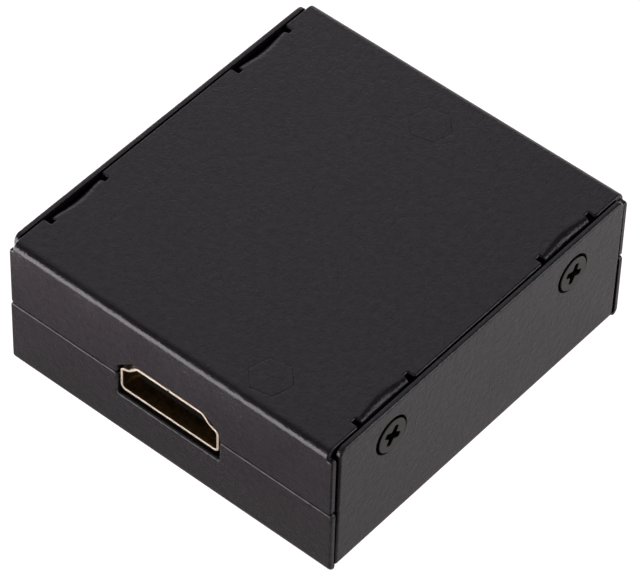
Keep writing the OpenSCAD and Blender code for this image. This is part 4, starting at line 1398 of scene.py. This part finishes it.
@dataclass
class Receptacle:
    """Plated shell of a video receptacle, bent from one strip that meets at a slit on its narrow side.

    Attributes:
        name: Name of the piece.
        node: CAD node that it stands for.
        at: Place of the mouth's middle.
        end: End of the case that it opens to.
        sheet: Thickness of the strip.
        length: Length of the shell.
        half_w: Half width inside.
        half_h: Height of the middle over the wide side.
        narrow_h: Height of the narrow side over the middle.
        slit: Width of the slit.
        slit_at: Distance of the slit from the narrow side's middle.
        corner: Radius of the cut corners.
        rim: Radius of the cut edges.
        depth_lines: Divisions of the strip behind the mouth.
        window_front: Distance of the windows' front edges behind the mouth.
        wide_window: Distance of the wide wall's windows from its middle, their half width, and the distance of
            their rear edges behind the mouth.
        narrow_window: The same for the narrow wall.
        finger_gap: Gap between a window's side and its finger.
        finger_sheet: Thickness of the fingers.
        finger_lap: How far a finger's root lies behind its window.
        finger_out: Distance of its root's middle from the wall's inner face.
        finger_bow: Shares of its length at which its dip starts and is deepest.
        finger_dip: How far it dips, and how far its tip turns out again.
        leg_sheet: Thickness of the legs.
        leg_half: Half width of a leg.
        leg_in: How far the legs' outer faces lie within the side walls'.
        leg_low: Height of the legs' start above the middle.
        leg_top: Height of the legs' ends above the middle.
        legs: Distances of the legs behind the mouth.
    """

    name: str
    node: str
    at: Corner
    end: End
    sheet: float = 0.33
    length: float = 11.4
    half_w: float = 7.0
    half_h: float = 2.275
    narrow_h: float = 2.08
    slit: float = 0.08
    slit_at: float = 0.2
    corner: float = 0.2
    rim: float = 0.05
    depth_lines: Corner = (0.5, 2.0, 9.5)
    window_front: float = 3.2
    wide_window: Corner = (3.4, 1.0, 8.2)
    narrow_window: Corner = (2.6, 0.9, 7.6)
    finger_gap: float = 0.35
    finger_sheet: float = 0.2
    finger_lap: float = 0.2
    finger_out: float = 0.12
    finger_bow: Spot = (0.05, 0.72)
    finger_dip: Spot = (0.5, 0.2)
    leg_sheet: float = 0.28
    leg_half: float = 0.7
    leg_in: float = 0.02
    leg_low: float = 0.2
    leg_top: float = 4.655
    legs: Spot = (2.6, 8.6)

    def section(self) -> tuple[Array, Array, Array]:
        """Inside outline of the shell from the middle of its narrow side round and back again.

        Returns:
            Distance along the outline, its points and its outward directions.
        """
        w, h = self.half_w, self.narrow_h
        right = [(w, -self.half_h, 0.42), (w, 0.55, 0.3), (w - 1.1, 1.0, 0.2), (w - 2.2, h, 0.4)]
        corners = np.array(right + [(-x, z, r) for x, z, r in right[::-1]])
        loop = densified(split_at(rounded_loop(corners, 8), 0, np.zeros(1)), np.inf)
        loop = np.roll(loop, -int(np.argmin(np.abs(loop[:, 0]) + np.abs(loop[:, 1] - h))), axis=0)
        out = -left_normals(loop)
        out = out / np.linalg.norm(out, axis=1, keepdims=True)
        loop, out = np.concatenate([loop, loop[:1]]), np.concatenate([out, out[:1]])
        along = np.concatenate([[0], np.cumsum(np.linalg.norm(np.diff(loop, axis=0), axis=1))])
        return along, loop, out

    def strip(self) -> Skin:
        """Bends the strip with its four windows.

        Each point is the section's point plus its outward direction times the height in the strip, at its own
        depth behind the mouth.

        Returns:
            The bent strip.
        """
        along, loop, out = self.section()
        whole = along[-1]
        first, last = self.slit_at + self.slit / 2, whole + self.slit_at - self.slit / 2
        edge = box_outline(first, 0, last, self.length, self.corner)
        # The inner face takes the second finish, dark brown painted shade inside the shell.
        blank = Blank(edge, self.sheet, self.rim, along[1:-1], np.array(self.depth_lines), inner_paint=1)
        a, b = self.wide_window, self.narrow_window
        windows = (whole / 2 - a[0], a), (whole / 2 + a[0], a), (b[0], b), (whole - b[0], b)
        for u, (_, half, rear) in windows:
            blank.window(box_outline(u - half, self.window_front, u + half, rear, self.corner))

        def bent(flat: Array) -> Array:
            """Wraps the strip round the section.

            Args:
                flat: Points of the strip.

            Returns:
                Their places.
            """
            s = flat[:, 0] % whole
            x, z, nx, nz = (np.interp(s, along, a) for a in (loop[:, 0], loop[:, 1], out[:, 0], out[:, 1]))
            lift = self.sheet + flat[:, 2]
            return np.column_stack([x + nx * lift, flat[:, 1], z + nz * lift])

        return blank.skin().placed(bent, mirrored=True)

    def finger(self, wall: Wall, side: Side) -> Skin:
        """Spring finger in a window: a strip carried along a bowed path that dips towards the plug.

        Args:
            wall: Wall of the shell that the finger is in.
            side: Side of that wall.

        Returns:
            The finger.
        """
        wide = wall is Wall.WIDE
        across, half, rear = self.wide_window if wide else self.narrow_window
        height = self.half_h if wide else self.narrow_h
        root, width, sheet = rear + self.finger_lap, 2 * (half - self.finger_gap), self.finger_sheet
        x, length = side.value * across, root - self.window_front
        edge = box_outline(0, 0, length, width, self.corner)
        made = Blank(edge, sheet, self.rim, np.linspace(0, length, 17)[1:-1], np.array([width / 2])).skin()
        # The fingers take the second finish, dark brown painted shade.
        made.paint = [np.ones_like(block) for block in made.paint]

        def bowed(flat: Array) -> Array:
            """Lays the strip on the path: it dips, and its tip turns out again.

            Args:
                flat: Points of the strip.

            Returns:
                Their places.
            """
            t, (start, lowest), (down, back) = flat[:, 0] / length, self.finger_bow, self.finger_dip
            dip = down * eased(t, start, lowest) - back * eased(t, lowest, 1.0)
            z = wall.value * (height + self.finger_out - dip + flat[:, 2] + sheet / 2)
            return np.column_stack([x - width / 2 + flat[:, 1], root - flat[:, 0], z])

        return made.placed(bowed, mirrored=wide)

    def leg(self, side: Side, y: float) -> Skin:
        """Leg that stands from the shell's side wall through the board.

        Args:
            side: Side of the shell.
            y: Place behind the mouth.

        Returns:
            The leg.
        """
        edge = box_outline(y - self.leg_half, self.leg_low, y + self.leg_half, self.leg_top, self.corner)
        edge[2:, 2] = self.leg_half / 2
        out, sign = self.half_w + self.sheet - self.leg_in, side.value
        return Blank(edge, self.leg_sheet, self.rim).skin().placed(
            lambda p: np.column_stack([sign * (out + p[:, 2]), p[:, 0], p[:, 1]]), mirrored=side is Side.LEFT)

    def build(self, finishes: Finishes) -> Object:
        """Joins strip, fingers and legs and sets the shell in its place.

        Args:
            finishes: Materials of the model.

        Returns:
            The shell.
        """
        parts = [self.finger(wall, side)
                 for wall in (Wall.WIDE, Wall.NARROW) for side in (Side.LEFT, Side.RIGHT)]
        parts += [self.leg(side, y) for side in Side for y in self.legs]
        turn = np.array([self.end.value, self.end.value, 1])
        whole = self.strip().joined(*parts).placed(lambda p: p * turn + np.asarray(self.at))
        return whole.piece(self.name, "shell_plate", finishes.of(GOLD, INNER_SHADE), self.node)


@dataclass
class StatusLamp:
    """Round lamp that lies under the board with its dome behind the hole in the side plate.

    Attributes:
        case: Shared sizes.
        tip: Place of the dome's tip along X.
        radius: Radius of the lens.
        collar: How far the collar stands out.
        length: Length with the collar.
    """

    case: Case
    tip: float = -22.7
    radius: float = 1.5
    collar: float = 0.4
    length: float = 5.2

    def build(self, finishes: Finishes) -> Object:
        """Turns the lens: a half sphere r sin g, r (1 - cos g), a straight run and a collar.

        Args:
            finishes: Materials of the model.

        Returns:
            The lens.
        """
        g = np.linspace(0.04, np.pi / 2, 14)
        (y, z), r, n, rim = self.case.lamp, self.radius, self.length, self.radius + self.collar
        dome = np.stack([r * np.sin(g), r * (1 - np.cos(g))], axis=1)
        tail = np.array([(r, n - 0.95), (rim - 0.07, n - 0.9), (rim, n - 0.83), (rim, n - 0.07),
                         (rim - 0.07, n), (r - 0.2, n)])
        made = Skin()
        front, back = made.wall(round_stack(np.concatenate([dome, tail]), count=40))
        made.cap([front], Face.OUTER)
        made.cap([back], Face.INNER)
        made = made.placed(lambda p: np.column_stack([self.tip - p[:, 2], y - p[:, 0], z + p[:, 1]]))
        return made.piece("status_lens", "lamp_resin", finishes.of(LENS), "status_lamp")


# Studio

@dataclass
class Studio:
    """Camera at the photograph's angle, soft lights and a pale floor.

    Attributes:
        azimuth: Degrees to the right of the front.
        elevation: Degrees above the floor.
        roll: Degrees by which the camera leans.
        distance: Distance from the target.
        sensor: Width of the sensor.
        focal: Focal length over the picture's width.
        target: Point that the camera looks at.
    """

    azimuth: float = 39.108
    elevation: float = 47.8487
    roll: float = 1.8206
    distance: float = 468.9109
    sensor: float = 36.0
    focal: float = 4456.1371 / 640.0
    target: Corner = (18.1807, -22.0873, 39.5244)

    def camera(self) -> None:
        """Sets up the camera."""
        a, e, r = np.radians([self.azimuth, self.elevation, self.roll])
        back = np.array([np.sin(a) * np.cos(e), -np.cos(a) * np.cos(e), np.sin(e)])
        right = np.array([np.cos(a), np.sin(a), 0.0])
        up = np.cross(back, right)
        place = np.eye(4)
        place[:3, 0], place[:3, 1] = np.cos(r) * right + np.sin(r) * up, np.cos(r) * up - np.sin(r) * right
        place[:3, 2], place[:3, 3] = back, (np.asarray(self.target) + back * self.distance) * MM
        data = bpy.data.cameras.new("photo_camera")
        data.sensor_fit, data.sensor_width, data.lens = "HORIZONTAL", self.sensor, self.sensor * self.focal
        data.clip_start, data.clip_end = 0.01, 20.0
        obj = bpy.data.objects.new("photo_camera", data)
        obj.matrix_world = Matrix(place.tolist())
        bpy.context.scene.collection.objects.link(obj)
        bpy.context.scene.camera = obj

    def softbox(self, name: str, at: Corner, size: Spot, radiance: float, tint: Color = (1, 1, 1)) -> None:
        """Hangs an area light that looks at the object.

        Args:
            name: Name of the light.
            at: Place in metres.
            size: Width and height in metres.
            radiance: Brightness of its face.
            tint: Colour.
        """
        data = bpy.data.lights.new(name, "AREA")
        data.shape, data.size, data.size_y = "RECTANGLE", *size
        data.energy, data.color = radiance * np.pi * size[0] * size[1], tint
        obj = bpy.data.objects.new(name, data)
        obj.location = at
        obj.rotation_euler = (Vector((0, 0, 0.01)) - Vector(at)).to_track_quat("-Z", "Y").to_euler()
        bpy.context.scene.collection.objects.link(obj)

    def light(self) -> None:
        """Hangs the lights and sets the sky, pale at the horizon and dark overhead."""
        self.softbox("front_softbox", (-0.42, -0.90, 0.09), (0.8, 0.18), 7.2)
        self.softbox("right_softbox", (0.74, 0.52, 0.42), (0.45, 0.6), 3.2)
        self.softbox("top_softbox", (-0.622, 0.30, 0.72), (1.2, 0.9), 0.63, (0.97, 0.93, 1.0))
        self.softbox("rear_softbox", (-0.526, 0.651, 0.28), (0.9, 0.26), 1.0)
        world = bpy.data.worlds.new("studio")
        bpy.context.scene.world = world
        world.use_nodes = True
        n = Wiring(world.node_tree)
        up = n.add("ShaderNodeSeparateXYZ", {0: n.add("ShaderNodeTexCoord").outputs["Generated"]}).outputs[2]
        n.feed(world.node_tree.nodes["Background"], {"Strength": n.spread(up, (0.0, 0.5), (0.35, 0.14)),
                                                     "Color": (0.98, 0.96, 1.0, 1.0)})
        bpy.context.scene.view_settings.view_transform = "Standard"

    def floor(self) -> None:
        """Lays the pale floor: a flat grid of a few faces.

        It is white to the camera. The object mirrors it as a lit table: dim close to the object, brighter away
        from it and to the right and rear, and shaded under the camera.
        """
        x, y = np.meshgrid(np.linspace(-3, 3, 5), np.linspace(-3, 3, 5))
        flat = np.stack([x.ravel(), y.ravel(), np.full(25, -0.00005)], axis=1)
        first = (np.arange(4)[:, None] * 5 + np.arange(4)).ravel()
        mesh = bpy.data.meshes.new("pale_floor")
        faces = np.stack([first, first + 1, first + 6, first + 5], axis=1)
        mesh.from_pydata(flat.tolist(), [], faces.tolist())
        mat, n, shader, at = Finish("floor_white").start()
        across, along, _ = n.add("ShaderNodeSeparateXYZ", {0: at}).outputs
        aside, ahead = (n.math("POWER", n.spread(n.math("ABSOLUTE", way), (half, half + 1)), 2.0)
                        for way, half in ((across, 0.024), (along, 0.026)))
        away, turn = n.math("SQRT", n.math("ADD", aside, ahead)), n.math("ADD", across, along)
        near = n.math("MULTIPLY", n.spread(turn, (-0.03, 0.03), (0.155, 0.195)),
                      n.spread(along, (-0.039, -0.026), (1.0, 2.2)))
        far = n.math("MULTIPLY", n.spread(turn, (-0.06, 0.0), (1.0, 0.1)),
                     n.spread(away, (0.018, 0.035), (0.0, 5.5)))
        under = n.math("MULTIPLY", n.spread(across, (0.022, 0.028)), n.spread(along, (-0.024, -0.030)))
        glow = n.math("MULTIPLY", n.math("ADD", near, far), n.math("SUBTRACT", 1.0, under))
        seen = n.add("ShaderNodeLightPath").outputs["Is Camera Ray"]
        unseen = n.math("SUBTRACT", 1.0, seen)
        n.feed(shader, {"Base Color": (0.37, 0.348, 0.345, 1), "Roughness": 0.9, "Specular IOR Level": 0.0,
                        "Emission Color": (1.0, 0.94, 0.93, 1),
                        "Emission Strength": n.math("ADD", n.math("MULTIPLY", seen, 1.1),
                                                    n.math("MULTIPLY", unseen, glow))})
        mesh.materials.append(mat)
        obj = bpy.data.objects.new("pale_floor", mesh)
        bpy.context.scene.collection.objects.link(obj)


def main() -> None:
    """Builds the studio and every piece in order."""
    logging.basicConfig(level=logging.INFO, format="%(name)s %(message)s")
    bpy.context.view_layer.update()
    studio = Studio()
    studio.camera()
    studio.light()
    studio.floor()
    finishes, case = Finishes(), Case()
    mouth, z = case.depth / 2 - case.port_in, case.port_z
    for piece in (UpperShell(case), LowerShell(case), CaseScrews(case), Standoffs(case),
                  Receptacle("input_port_shell", "input_shell", (0.0, -mouth, z), End.FRONT),
                  Receptacle("left_port_shell", "output_left_shell", (-case.output_x, mouth, z), End.REAR),
                  Receptacle("right_port_shell", "output_right_shell", (case.output_x, mouth, z), End.REAR),
                  StatusLamp(case)):
        piece.build(finishes)
    finishes.dress(frame["nodes"])


if __name__ == "__main__":
    main()
